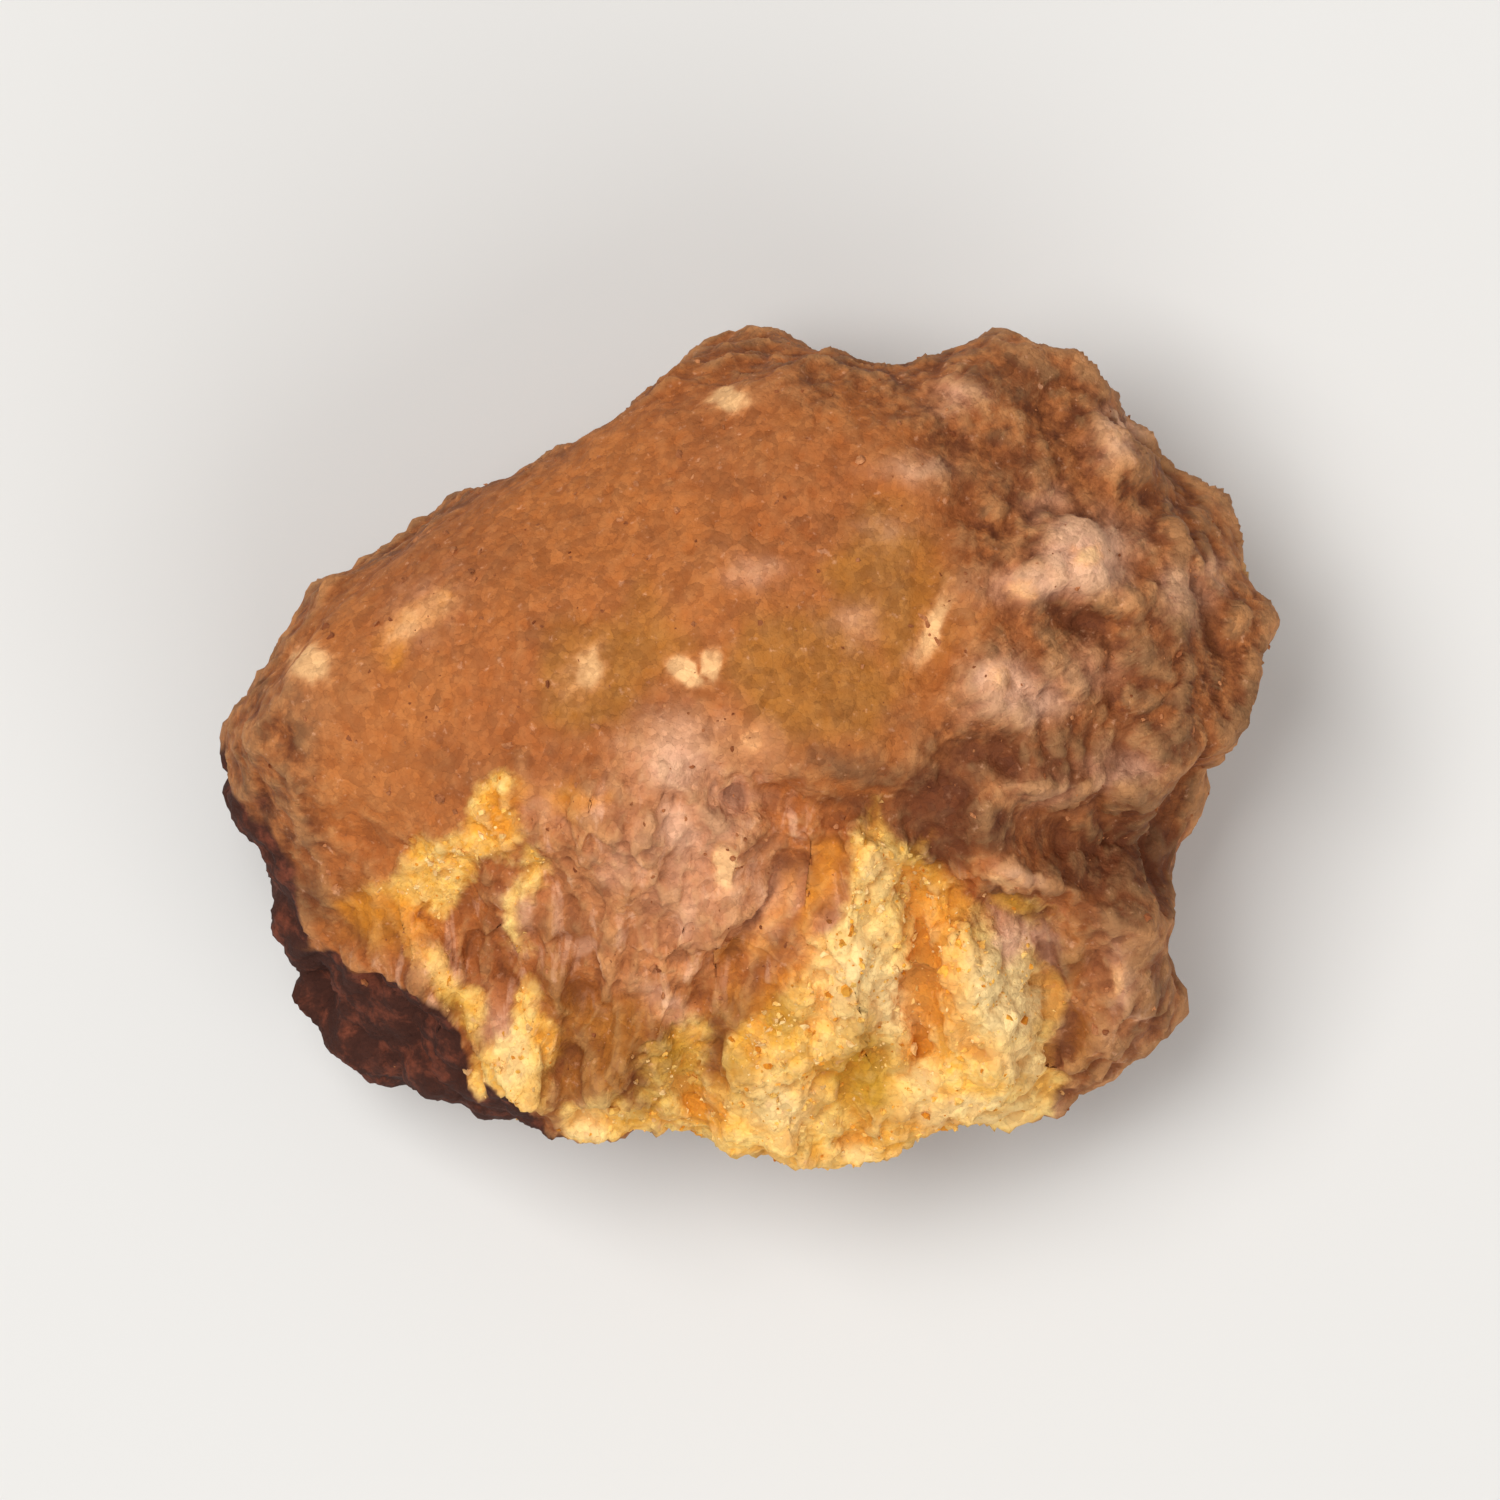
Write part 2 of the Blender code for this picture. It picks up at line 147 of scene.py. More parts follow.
# Ridges and grooves of the upper side, seen from above: points along it, half width, rise.
FOLDS = (
    (((0.20, -0.38), (0.75, -0.70), (1.32, -0.56), (1.75, -0.74), (2.08, -1.05)), 0.30, -0.36),
    (((2.10, -0.35), (2.60, -0.12)), 0.24, -0.20),
    (((2.36, -1.50), (2.88, -1.76), (3.16, -2.30), (3.20, -3.00)), 0.24, -0.40),
    (((3.05, -0.90), (3.55, -1.06), (4.20, -0.92)), 0.30, -0.44),
    (((-2.38, -1.45), (-2.25, -2.00), (-2.18, -2.45)), 0.30, -0.22),
    (((-1.50, -2.50), (-1.45, -2.95), (-1.25, -3.45)), 0.26, -0.24),
    (((1.82, -1.35), (1.92, -2.15), (1.82, -2.85)), 0.20, -0.34),
    (((0.50, -1.20), (0.12, -2.00), (-0.22, -2.65), (-0.35, -3.30)), 0.22, -0.22),
    (((1.16, -2.90), (1.18, -3.60)), 0.30, -0.28),
    (((2.00, 3.50), (2.15, 2.60), (1.85, 1.70), (1.95, 0.80)), 0.24, -0.12),
    (((-3.90, -0.60), (-3.30, -0.95), (-2.80, -1.55)), 0.22, -0.12),
    (((-2.00, -0.35), (-2.60, -0.80), (-3.25, -1.25)), 0.24, 0.16),
    (((-3.10, -1.80), (-2.62, -2.50), (-2.20, -3.25)), 0.24, 0.16),
    (((-1.80, -2.30), (-1.95, -2.90), (-2.02, -3.45)), 0.24, 0.24),
    (((-1.05, -1.20), (-1.05, -2.10), (-0.92, -3.10)), 0.28, 0.14),
    (((-0.35, -1.60), (-0.36, -2.30), (-0.15, -2.75)), 0.20, 0.12),
    (((0.48, -2.40), (0.38, -3.00), (0.38, -3.60)), 0.22, 0.18),
    (((1.30, -1.05), (1.20, -2.10), (1.05, -2.70)), 0.28, 0.34),
    (((2.40, -1.85), (2.48, -2.30), (2.58, -3.25)), 0.28, 0.34),
    (((2.85, -0.38), (3.45, -0.42), (4.10, -0.48)), 0.20, 0.22),
)
# How much a face has to look up before what is drawn from above is at full height on it.
FACING_FULL = 0.45
# The lumps and folds wander sideways, so that none of them runs straight: how far, and over what length.
WANDER_MM = 0.16
WANDER_LENGTH_MM = 0.75
WANDER_SEED = 63

# The splintered break of the lower half, seen from above: its upper edge and how it fades in.
SPLINTER_EDGE_MM = (
    (-4.60, -2.20), (-3.40, -1.45), (-2.20, -0.60), (-0.90, 0.20),
    (0.30, -0.10), (1.60, -0.40), (2.60, -1.20), (4.60, -2.00),
)
SPLINTER_FADE_MM = 0.5
# Its splinters are small facets: their size, rise and unevenness.
SPLINTER_SIZE_MM = (0.62, 1.10, 0.90)
SPLINTER_RISE_MM = 0.36
SPLINTER_UNEVENNESS = 0.35
SPLINTER_SEED = 43

# The knobbly end: centre, reach, how its edge fades, and the size, height and unevenness of its knobs.
KNOB_MIDDLE_MM = (3.70, 1.10, 0.80)
KNOB_REACH_MM = (2.50, 3.30, 3.00)
KNOB_FADE = 0.4
KNOB_SIZE_MM = 1.05
KNOB_RISE_MM = 0.42
KNOB_UNEVENNESS = 0.30
KNOB_SEED = 33

# The smooth face, which has few facets: centre, reach, how its edge fades, and the share that is left.
SMOOTH_MIDDLE_MM = (-1.60, 1.40, 2.60)
SMOOTH_REACH_MM = (4.80, 3.20, 2.60)
SMOOTH_FADE = 0.33
SMOOTH_SHARE = 0.12

# Facets all round: their size, rise and unevenness.
FACET_SIZE_MM = 2.0
FACET_RISE_MM = 0.62
FACET_UNEVENNESS = 0.20
FACET_SEED = 13

# The mean height of any such facets whose rise is 1, taken off so that they leave the size alone.
FACET_MEAN = 0.29

# Swells of the whole skin, from broad to fine: length and height.
SWELLS_MM = ((2.6, 0.16), (1.2, 0.07), (0.6, 0.04))
SWELL_SEED = 3

# The fine grid: how far out from its middle the equator lies, where 2 is its corners.
EQUATOR = 1.22

# Zones of colour drawn from above, in millimetres from the core: how soft the edge is, and the outlines.
ZONES = {
    "gold": (0.40, (
        ((1.40, -0.62), (1.15, -0.90), (1.05, -1.35), (0.80, -1.90), (0.42, -2.40), (0.15, -2.80),
         (-0.15, -3.30), (-0.45, -4.60), (3.16, -4.60), (3.10, -3.00), (3.02, -2.15), (2.35, -1.60),
         (2.00, -1.22), (1.70, -0.85)),
        ((-2.02, -0.95), (-1.90, -1.00), (-1.92, -1.85), (-2.04, -1.85)),
        ((-2.12, -0.25), (-1.92, -0.40), (-2.05, -0.85), (-2.40, -1.20), (-2.58, -1.50), (-2.80, -1.60),
         (-3.05, -1.42), (-3.35, -1.32), (-3.15, -1.05), (-2.65, -0.82)),
        ((-3.05, -1.98), (-2.80, -1.98), (-2.50, -2.32), (-2.30, -2.75), (-2.55, -2.68), (-2.90, -2.25)),
        ((-1.86, -2.25), (-1.70, -2.40), (-1.66, -3.00), (-1.85, -3.60), (-2.15, -3.75), (-2.50, -3.10),
         (-2.32, -2.82), (-2.00, -2.65)),
        ((-1.58, -3.42), (-0.30, -3.48), (-0.30, -4.60), (-1.65, -4.60)),
    )),
    "orange": (0.50, (
        ((0.85, -0.95), (1.12, -0.85), (1.02, -1.40), (0.62, -2.20), (0.30, -2.90), (0.10, -3.30),
         (-0.12, -3.30), (0.28, -2.40), (0.72, -1.60)),
        ((1.68, -1.20), (2.02, -1.35), (2.24, -2.00), (2.20, -2.85), (1.70, -2.85), (1.70, -2.10)),
        ((-3.45, -1.25), (-3.05, -1.45), (-2.80, -1.75), (-2.95, -1.98), (-3.30, -1.85), (-3.60, -1.55)),
        ((-2.08, -0.45), (-2.04, -0.48), (-2.50, -1.06), (-3.15, -1.26), (-3.15, -1.22), (-2.54, -1.00)),
        ((-1.82, -0.56), (-1.20, -0.36), (-1.18, -0.40), (-1.80, -0.66)),
        ((0.42, -1.15), (0.50, -1.15), (0.46, -1.75), (0.12, -2.20), (0.08, -2.16), (0.38, -1.70)),
        ((-3.32, 0.94), (-2.66, 1.47), (-2.62, 1.42), (-3.27, 0.89)),
    )),
    # The purplish mottle: the knobbly end's own purplish brown, and on the upper and left rims partly painted
    # shade.
    "purple": (0.80, (
        ((-0.60, 3.62), (0.30, 3.45), (1.50, 3.12), (1.90, 2.65), (2.20, 2.00), (2.50, 1.40), (2.30, 0.80),
         (1.80, 0.30), (1.70, -0.20), (1.95, -0.90), (2.40, -1.10), (3.15, -1.50), (3.45, -2.40),
         (3.60, -3.60), (4.80, -3.60), (5.80, 0.50), (5.60, 2.80), (4.40, 4.40), (1.00, 4.90),
         (-0.50, 4.40)),
        ((-5.60, 1.90), (-4.20, 1.40), (-3.98, 0.40), (-3.88, -0.60), (-3.72, -1.30), (-4.10, -1.90),
         (-5.60, -1.50)),
    )),
    "pink": (0.60, (
        ((-1.75, -0.75), (-1.20, -0.30), (-0.85, 0.25), (-0.20, 0.35), (0.35, 0.10), (0.50, -0.60),
         (0.50, -1.60), (0.05, -2.05), (-0.50, -2.60), (-1.20, -2.25), (-1.70, -2.10), (-1.85, -1.40)),
        ((3.45, -1.70), (4.00, -1.60), (4.05, -2.70), (3.60, -2.90), (3.45, -2.50)),
    )),
    "olive": (0.70, (
        ((0.10, 1.15), (1.00, 1.30), (1.70, 0.60), (1.30, 0.00), (0.40, 0.15), (-0.10, 0.60)),
        ((-1.70, 0.95), (-0.70, 1.35), (-0.45, 1.00), (-1.00, 0.35), (-1.80, 0.15)),
        ((0.95, 1.60), (1.20, 2.35), (1.80, 2.10), (2.05, 1.00), (1.70, 0.60)),
        ((-1.70, -2.25), (-1.20, -2.30), (-0.55, -2.75), (0.05, -2.20), (0.30, -2.40), (-0.10, -3.60),
         (-1.70, -3.60)),
        ((-3.90, -1.30), (-3.40, -1.30), (-3.20, -1.80), (-3.70, -1.90)),
        ((2.45, -1.35), (2.90, -1.50), (3.35, -2.00), (3.50, -3.60), (3.00, -3.60), (2.98, -2.15)),
    )),
    # The dark crust along the lower-left flank: partly charred crust, partly painted shade.
    "crust": (0.20, (
        ((-5.20, 0.40), (-5.10, -0.25), (-5.00, -0.80), (-4.66, -1.36), (-3.98, -1.88), (-3.30, -2.24),
         (-2.74, -2.62), (-2.44, -3.08), (-2.18, -3.55), (-1.90, -4.00), (-1.90, -5.50), (-7.00, -5.50),
         (-7.00, 0.90)),
    )),
}
ZONE_WANDER_MM = 0.16
ZONE_WANDER_LENGTH_MM = 0.40
# What is drawn from above fades out on the sides: how much the skin looks up there, and where it is full.
LOOKING_UP = {
    "zones": (-0.13, 0.20), "spots": (0.0, 0.25), "gold": (-0.20, 0.13),
    "purple": (-0.5, 0.0), "broken": (-0.3, 0.1),
}

# The golden colour also runs down the front wall: between which heights from the core it fades out below
# and above, between which ends along X, the way that the wall faces, how closely a place has to face that
# way, and how that limit wanders: length and height.
GOLD_WALL_FOOT_MM = (-1.9, 0.1)
GOLD_WALL_TOP_MM = (1.7, 1.1)
GOLD_WALL_ENDS_MM = ((-1.2, -0.4), (3.3, 2.5))
GOLD_WALL_FACING = np.array((0.12, -0.95, -0.15))
GOLD_WALL_MATCH = (0.30, 0.63)
GOLD_WALL_RAGGED_MM = ((0.6, 0.08),)
# Elsewhere below, the gold shows in patches: the length and share of each octave of their noise, the
# levels between which they show, the heights between which they fade out upwards, and how far the skin
# there looks up.
GOLD_PATCHES_MM = ((1.5, 1.0), (0.5, 0.3))
GOLD_PATCH_LEVEL = (0.30, 0.60)
GOLD_PATCH_TOP_MM = (0.5, -0.3)
GOLD_PATCH_FACING = (0.05, -0.45)
# How strong the gold is on the wall and in the patches.
GOLD_BELOW = 0.8

# The charred crust is also left where the skin faces this way: how closely, and how that limit wanders. It
# fades out below, and along X. On this steep lower-left flank the dark crust is partly painted shade.
CRUST_AND_SHADE_FACING = np.array((-0.72, -0.52, -0.40))
CRUST_MATCH = (0.55, 0.80)
CRUST_RAGGED_MM = ((0.9, 0.14), (0.32, 0.08))
CRUST_FOOT_MM = (-1.5, -1.0)
CRUST_END_MM = (-0.6, -1.5)

# Pale and dark spots seen from above: middle, half length, half width, turn in degrees, strength. The pale
# ones are partly pale patches and partly painted highlights, on the tops of lumps and on golden facets that
# turn from the light.
PALE_SPOTS_AND_HIGHLIGHTS = (
    (3.38, 1.80, 0.42, 0.34, 10, 1.3), (2.92, 1.58, 0.52, 0.20, 12, 0.75),
    (3.75, 1.90, 0.26, 0.22, 0, 0.35), (2.60, 0.55, 0.36, 0.34, -15, 0.9),
    (2.92, 0.40, 0.26, 0.22, 0, 0.75), (3.72, -0.22, 0.34, 0.20, 0, 0.6), (2.98, 2.28, 0.26, 0.22, 0, 0.4),
    (4.32, 1.46, 0.24, 0.32, 0, 0.55), (1.78, 0.80, 0.16, 0.16, 0, 0.3), (3.32, 0.70, 0.40, 0.26, 0, 0.35),
    (3.75, 2.98, 0.30, 0.26, 0, 0.75), (2.15, 3.30, 0.30, 0.18, 0, 0.5), (1.75, 2.62, 0.40, 0.15, 0, 0.5),
    (1.45, 2.02, 0.30, 0.20, 0, 0.3), (0.22, 1.65, 0.34, 0.18, -20, 0.4), (1.18, 1.12, 0.30, 0.24, 0, 0.4),
    (4.62, 1.62, 0.16, 0.22, 0, 0.5), (3.00, -0.48, 0.38, 0.18, 0, 0.35),
    (2.72, -1.26, 0.28, 0.13, -15, 0.6), (3.68, -2.22, 0.13, 0.38, 0, 0.5),
    (-0.50, -0.15, 0.44, 0.46, 0, 0.75), (0.06, -0.50, 0.24, 0.20, 0, 0.75),
    (0.40, -1.50, 0.24, 0.40, -15, 0.75), (-1.25, -0.50, 0.30, 0.22, 0, 0.35),
    (-1.75, -0.60, 0.22, 0.26, 0, 0.45), (-2.02, -1.62, 0.16, 0.30, 0, 0.5),
    (-0.45, -0.80, 0.32, 0.28, 0, 0.8), (0.00, -1.18, 0.18, 0.30, 0, 0.8),
    (-0.60, -2.48, 0.36, 0.13, -40, 0.6), (-1.05, -1.20, 0.30, 0.25, 0, 0.45),
    (-0.40, -1.60, 0.22, 0.40, 0, 0.5), (1.22, -2.15, 0.48, 0.62, 0, 1.1),
    (1.52, -2.42, 0.28, 0.38, 0, 1.3), (1.38, -1.22, 0.22, 0.34, 0, 0.8), (2.64, -2.30, 0.38, 0.58, 0, 1.7),
    (2.82, -2.95, 0.30, 0.36, 0, 0.9), (0.48, -3.45, 0.36, 0.32, 0, 1.0), (2.30, -3.46, 0.75, 0.16, 0, 1.0),
    (1.80, -3.22, 0.30, 0.16, -45, 0.9), (-2.08, -2.95, 0.22, 0.50, 12, 0.8),
    (-2.78, -2.12, 0.16, 0.36, 42, 0.4), (-1.36, -3.68, 0.20, 0.24, 0, 1.0),
    (1.18, -3.90, 0.24, 0.14, 0, 0.8), (-2.92, 1.25, 0.50, 0.30, 40, 0.35),
    (-0.35, -0.95, 0.80, 1.00, 0, 0.42),
)
# The dark spots are partly dark mottle and partly painted shade: in the creases under the upper mass, under
# the ledges, in grooves and on shaded golden facets.
DARK_SPOTS_AND_SHADE = (
    (1.98, -0.66, 0.42, 0.48, 0, 1.7), (1.25, -0.22, 0.62, 0.22, -6, 0.85),
    (1.15, 2.05, 0.36, 0.30, 0, 0.35), (1.48, 1.50, 0.30, 0.24, 0, 0.35), (2.45, -0.85, 0.34, 0.26, 0, 0.9),
    (2.46, -0.10, 0.42, 0.22, 0, 1.1), (1.30, -0.55, 0.60, 0.14, -8, 0.8), (2.72, 2.70, 0.28, 0.22, 0, 0.6),
    (3.98, 2.40, 0.30, 0.26, 0, 0.4), (2.80, 3.45, 0.40, 0.22, 0, 0.6), (3.28, 1.15, 0.30, 0.20, 0, 0.8),
    (3.86, -1.08, 0.80, 0.36, 0, 1.4), (3.95, -0.55, 0.40, 0.28, 0, 0.7), (3.90, 0.80, 0.34, 0.30, 0, 0.8),
    (4.28, 1.15, 0.26, 0.34, 0, 0.7), (4.18, 0.02, 0.30, 0.26, 0, 1.0), (1.60, 0.20, 0.34, 0.30, 0, 0.5),
    (-1.55, -1.85, 0.25, 0.45, 0, 0.4), (-2.36, -2.00, 0.16, 0.44, -10, 0.4),
    (-1.45, -2.95, 0.20, 0.42, 0, 0.4), (0.35, -1.95, 0.12, 0.50, -20, 0.5),
    (-0.15, -2.75, 0.22, 0.55, -25, 0.5), (0.10, -3.00, 0.22, 0.34, 0, 0.7),
    (-0.75, -3.20, 0.20, 0.40, 0, 0.7), (-3.40, -1.60, 0.34, 0.22, -30, 0.8),
    (-3.95, -1.45, 0.22, 0.40, 35, 0.7), (1.28, -3.15, 0.30, 0.40, 0, 1.6),
    (0.52, -2.62, 0.20, 0.24, 0, 0.9), (2.74, -1.54, 0.42, 0.13, -36, 1.4),
    (3.12, -2.02, 0.14, 0.28, 14, 1.3), (3.20, -2.62, 0.13, 0.56, 0, 0.7),
    (3.85, -2.62, 0.14, 0.20, 0, 0.8), (3.75, -1.55, 0.45, 0.26, 0, 0.9), (4.05, -2.35, 0.18, 0.60, 0, 0.8),
    (-0.55, -2.95, 0.22, 0.28, 0, 1.0), (-2.62, -2.42, 0.16, 0.24, 40, 0.85),
    (4.95, 0.35, 0.22, 0.40, 0, 1.3), (1.15, 0.22, 0.30, 0.22, 0, 0.4), (3.40, -0.05, 1.20, 0.55, 0, 0.55),
    (3.75, -2.30, 0.45, 0.90, 0, 0.60),
)
SPOT_WANDER_MM = 0.09
SPOT_WANDER_LENGTH_MM = 0.22
# The purplish mottle also covers the sides, from this much looking up to this little. On the sides it is
# partly painted shade.
PURPLE_AND_SHADE_FACING = (0.69, -0.08)

# Cream flecks seen from above, written as the spots are. A few of them, on the tops of lumps at the knobbly
# end and on the right lump, are painted highlights.
FLECKS_AND_HIGHLIGHTS = (
    (-0.01, 3.26, 0.24, 0.14, 0, 1.0), (-3.96, 0.77, 0.29, 0.23, -20, 0.85),
    (-3.06, 1.14, 0.30, 0.21, 42, 0.60), (-2.80, 1.30, 0.40, 0.22, 38, 0.5),
    (-1.42, 0.64, 0.34, 0.24, 60, 0.45), (-1.29, 0.73, 0.28, 0.18, 78, 0.75),
    (-0.42, 0.70, 0.22, 0.14, -50, 1.0), (-0.17, 0.76, 0.20, 0.10, 75, 0.8),
    (1.91, 1.09, 0.48, 0.13, 67, 0.85), (1.21, 1.14, 0.20, 0.16, 0, 0.45),
    (3.38, 1.78, 0.18, 0.14, 20, 0.8), (2.74, 1.50, 0.16, 0.14, 0, 0.6), (2.56, 0.62, 0.16, 0.20, 30, 0.55),
    (3.67, 2.95, 0.14, 0.12, 0, 0.55), (-0.02, -1.16, 0.17, 0.28, 0, 1.0), (0.20, 0.05, 0.18, 0.14, 0, 0.5),
    (-0.62, -2.52, 0.22, 0.08, -40, 0.5), (3.66, -2.25, 0.12, 0.20, 0, 0.6),
    (2.58, -1.28, 0.26, 0.08, -8, 0.7), (4.70, 1.60, 0.10, 0.12, 0, 0.5),
)
# How far their edges wander and over what length, where they fade out, how high they stand, and the
# speckle on them: how high it lies on the whole, and its size.
FLECK_WANDER_MM = 0.05
FLECK_WANDER_LENGTH_MM = 0.12
FLECK_EDGE = (0.05, 0.95)
FLECK_RISE_MM = 0.012
FLECK_LEVEL = 0.4
SPECKLE_MM = 0.08
# Small flecks strewn all round: the size of a cell that may hold one, the share of cells that do, how far
# they reach, how soft their edge is, how they are stretched, and how strong they are.
STREWN_CELL_MM = 0.40
STREWN_SHARE = 0.10
STREWN_REACH = (0.07, 0.20)
STREWN_EDGE = 0.12
STREWN_STRETCH = np.array((1.0, 0.7, 1.0))
STREWN_STRENGTH = (0.3, 0.7)

# How many rounds of averaging over neighbours give the level that hollows and ridges are measured from,
# and the depth that counts as full.
HOLLOW_LEVELS = {"hollow": (12, 0.05), "cavity": (120, 0.18)}
BROAD_ROUNDS = 240

# How strongly each kind of fine grain shows on each ground. Below 0 it goes inward.
GRAIN_SHARES = {
    "unevenness": {"all": 1.0, "smooth": -0.35},
    "granules": {"all": 0.6, "knobbly": 0.4, "broken": 0.6, "gold": 0.6},
    "break facets": {"broken": 1.0, "gold": 0.5},
    "side facets": {"side": 1.0},
    "nodules": {"knobbly": -1.0},
    "packed crumbs": {"gold": 1.0, "broken": 0.60, "knobbly": 0.45, "side": 0.40, "smooth": 0.10},
    "pores": {"all": -1.0, "gold": 0.5},
    "plates": {"crust": -1.0},
}
GRAIN_WANDER_MM = 0.06
GRAIN_WANDER_LENGTH_MM = 0.3
# The unevenness: the length and share of each octave.
GRAIN_OCTAVES_MM = ((0.55, 0.9), (0.27, 0.7), (0.13, 0.5), (0.07, 0.4))
# Granules: their size, the height of their middle, and how fast they fall away from it.
GRANULE_MM = 0.13
GRANULE_TOP = 0.6
GRANULE_FALL = 1.4
# Small dished facets of the breaks, and small knobs of the knobbly end: size, unevenness and rise.
BREAK_FACETS_MM = (((0.32, 0.80, 0.46), 0.35, 0.17), ((0.17, 0.34, 0.20), 0.35, 0.07))
SIDE_FACETS_MM = (((0.50, 0.50, 0.50), 0.30, 0.12), ((0.22, 0.22, 0.22), 0.30, 0.05))
NODULES_MM = (((0.62, 0.62, 0.62), 0.35, 0.16), ((0.27, 0.27, 0.27), 0.30, 0.07))
# The golden break's packed crumbs: the length and share of each octave, and how they are stretched.
CRUMB_OCTAVES_MM = ((0.46, 0.8), (0.20, 0.35), (0.11, 0.25))
CRUMB_STRETCH = np.array((0.8, 1.3, 1.0))
# Each packed crumb is a plateau: its least and greatest height, how steeply it tilts, how wide the grooves
# are in which its height and its tilt end, and the mean height that is taken off.
PLATEAU_HEIGHTS = (0.45, 1.20)
PLATEAU_TILT = 0.9
PLATEAU_GROOVE = 0.4
PLATEAU_TILT_GROOVE = 0.3
PLATEAU_MEAN = 0.6
# Pores: the size of a cell that may hold one, the share of cells that do, and how steep they are.
PORE_CELL_MM = 0.19
PORE_SHARE = 0.14
PORE_STEEPNESS = 5
# The crust's cracked plates, large and small, written as the facets are.
CRUST_PLATES_MM = (((0.62, 0.50, 0.66), 0.25, 0.26), ((0.24, 0.20, 0.24), 0.30, 0.10))

# Patterns of colour in the flesh: size in metres, detail, roughness and distortion. Streaks run along Y.
PATTERNS = {
    "broad": (0.0020, 3.0, 0.55, 0.0),
    "patchy": (0.0008, 4.0, 0.60, 0.3),
    "fine": (0.00026, 4.0, 0.65, 0.0),
    "dusty": (0.00010, 3.0, 0.60, 0.0),
}
STREAKS = (0.00024, 4.0, 0.60, 0.5)
STREAK_STRETCH = (1.0, 0.3, 0.6)

# The first seed of each noise that the looks use.
SEEDS = {
    "zone": 200, "crust": 240, "gold": 250, "fleck": 260, "strewn": 265, "pale": 280, "dark": 285,
    "grain": 300, "granule": 310, "nodule": 315, "crumb": 320, "break": 335, "pore": 350, "plate": 360,
    "speckle": 370, "side": 375,
}

# How each zone's edge is broken up in the colours: by which pattern, how much, and how softly.
RAGGED_EDGES = {
    "olive": ("patchy", 0.7, 0.45),
    "purple": ("patchy", 0.9, 0.45),
    "pink": ("fine", 0.8, 0.45),
    "dark": ("fine", 0.5, 0.45),
    "pale": ("fine", 0.5, 0.50),
    "orange": ("patchy", 0.7, 0.45),
    "gold": ("fine", 1.0, 0.36),
    "fleck": ("dusty", 0.9, 0.50),
    "crust": ("patchy", 0.6, 0.20),
}
# Where each layer of colour comes in: by which pattern or share, from which level, and where it is full.
LEVELS = {
    "light rust": ("broad", 0.35, 0.65),
    "dark rust": ("patchy", 0.46, 0.72),
    "mottle": ("fine", 0.38, 0.64),
    "mottle rust": ("patchy", 0.48, 0.66),
    # Pink on the bulges: the lumps' own pinkish brown, with painted highlight on them.
    "bulges": ("cavity", -0.05, -0.80),
    "brown streaks": ("streaky", 0.48, 0.64),
    "peach streaks": ("streaky", 0.46, 0.32),
    "pale gold": ("fine", 0.40, 0.62),
    "amber": ("patchy", 0.50, 0.70),
    "ochre streaks": ("streaky", 0.52, 0.70),
    # Painted highlight: cream on ridges.
    "ridges": ("hollow", 0.25, -0.55),
    # Painted shade: hollows, cavities and the darkest spots take the shadow colour.
    "hollows": ("hollow", 0.10, 0.95),
    "cavities": ("cavity", 0.15, 0.90),
    "darkest": ("dark", 0.8, 1.5),
    "dust": ("dusty", 0.62, 0.74),
    "cream flecks": ("fleck", 0.25, 0.85),
    "char": ("fine", 0.45, 0.70),
}
# How much of the shadow's colour hollows take, and how much cavities and the cork's darkest spots do.
HOLLOW_SHADOW = 0.6
CAVITY_SHADOW = 0.7

# The shader's grain: its ripple, how far its granules stray, how fine the coarse and the fine ones are, the
# share of the tone that the coarse ones give, the height that the fine ones add, how much each bulges, and
# the levels of tone and of pores.
RIPPLE = {"Detail": 3.0, "Roughness": 0.6}
RIPPLE_HEIGHT = 0.8
GRANULE_STRAY = 0.8
COARSE_FINENESS = 0.6
FINE_FINENESS = 1.5
COARSE_TONE = 0.55
FINE_HEIGHT = 0.4
GRANULE_BULGE = -0.45
TONE_LEVELS = (0.28, 0.72)
PORE_FINENESS = 0.35
PORE_DETAIL = 4.0
PORE_LEVELS = (0.62, 0.78)

# The flesh: the size of its grain in metres, the tints of dark and light granules, how much they show and how
# much of the painted shade the pores take, how much the finest pattern adds to the bump, its roughness, and
# how much rougher, or below 0 smoother, light granules, the purplish end and the crust are.
FLESH_GRAIN = 0.00009
DARK_GRANULE = (0.60, 0.52, 0.46, 1.0)
LIGHT_GRANULE = (1.22, 1.22, 1.20, 1.0)
GRANULES_SHOW = 0.5
PORES_SHOW = 0.4
FINE_BUMP = 1.2
FLESH_SPECULAR = 0.18
FLESH_ROUGHNESS = 0.78
TONE_ROUGHER = 0.12
PURPLE_ROUGHER = -0.10
CRUST_ROUGHER = 0.10

# Loose crumbs: the size of their grain and its bump in metres, the tint of their dark granules, their
# roughness, and how much rougher light granules are.
LOOSE_GRAIN = 0.00006
LOOSE_BUMP = 0.000006
LOOSE_DARK_GRANULE = (0.65, 0.56, 0.48, 1.0)
LOOSE_SPECULAR = 0.22
LOOSE_ROUGHNESS = 0.75
LOOSE_ROUGHER = 0.15
# The golden ones go from amber to cream by their tone: between which tones each colour comes in.
LOOSE_GOLDS = {"gold": (0.0, 0.15), "gold_pale": (0.1, 0.5), "cream": (0.4, 1.0)}
# Their shape: the squares of their grid, how they are squashed and dented, and how deep they sit, in radii.
LOOSE_SQUARES = 4
LOOSE_SQUASH = (0.30, 1.10)
LOOSE_DENT = (0.50, 1.25)
LOOSE_SEAT = (-0.55, 0.10)
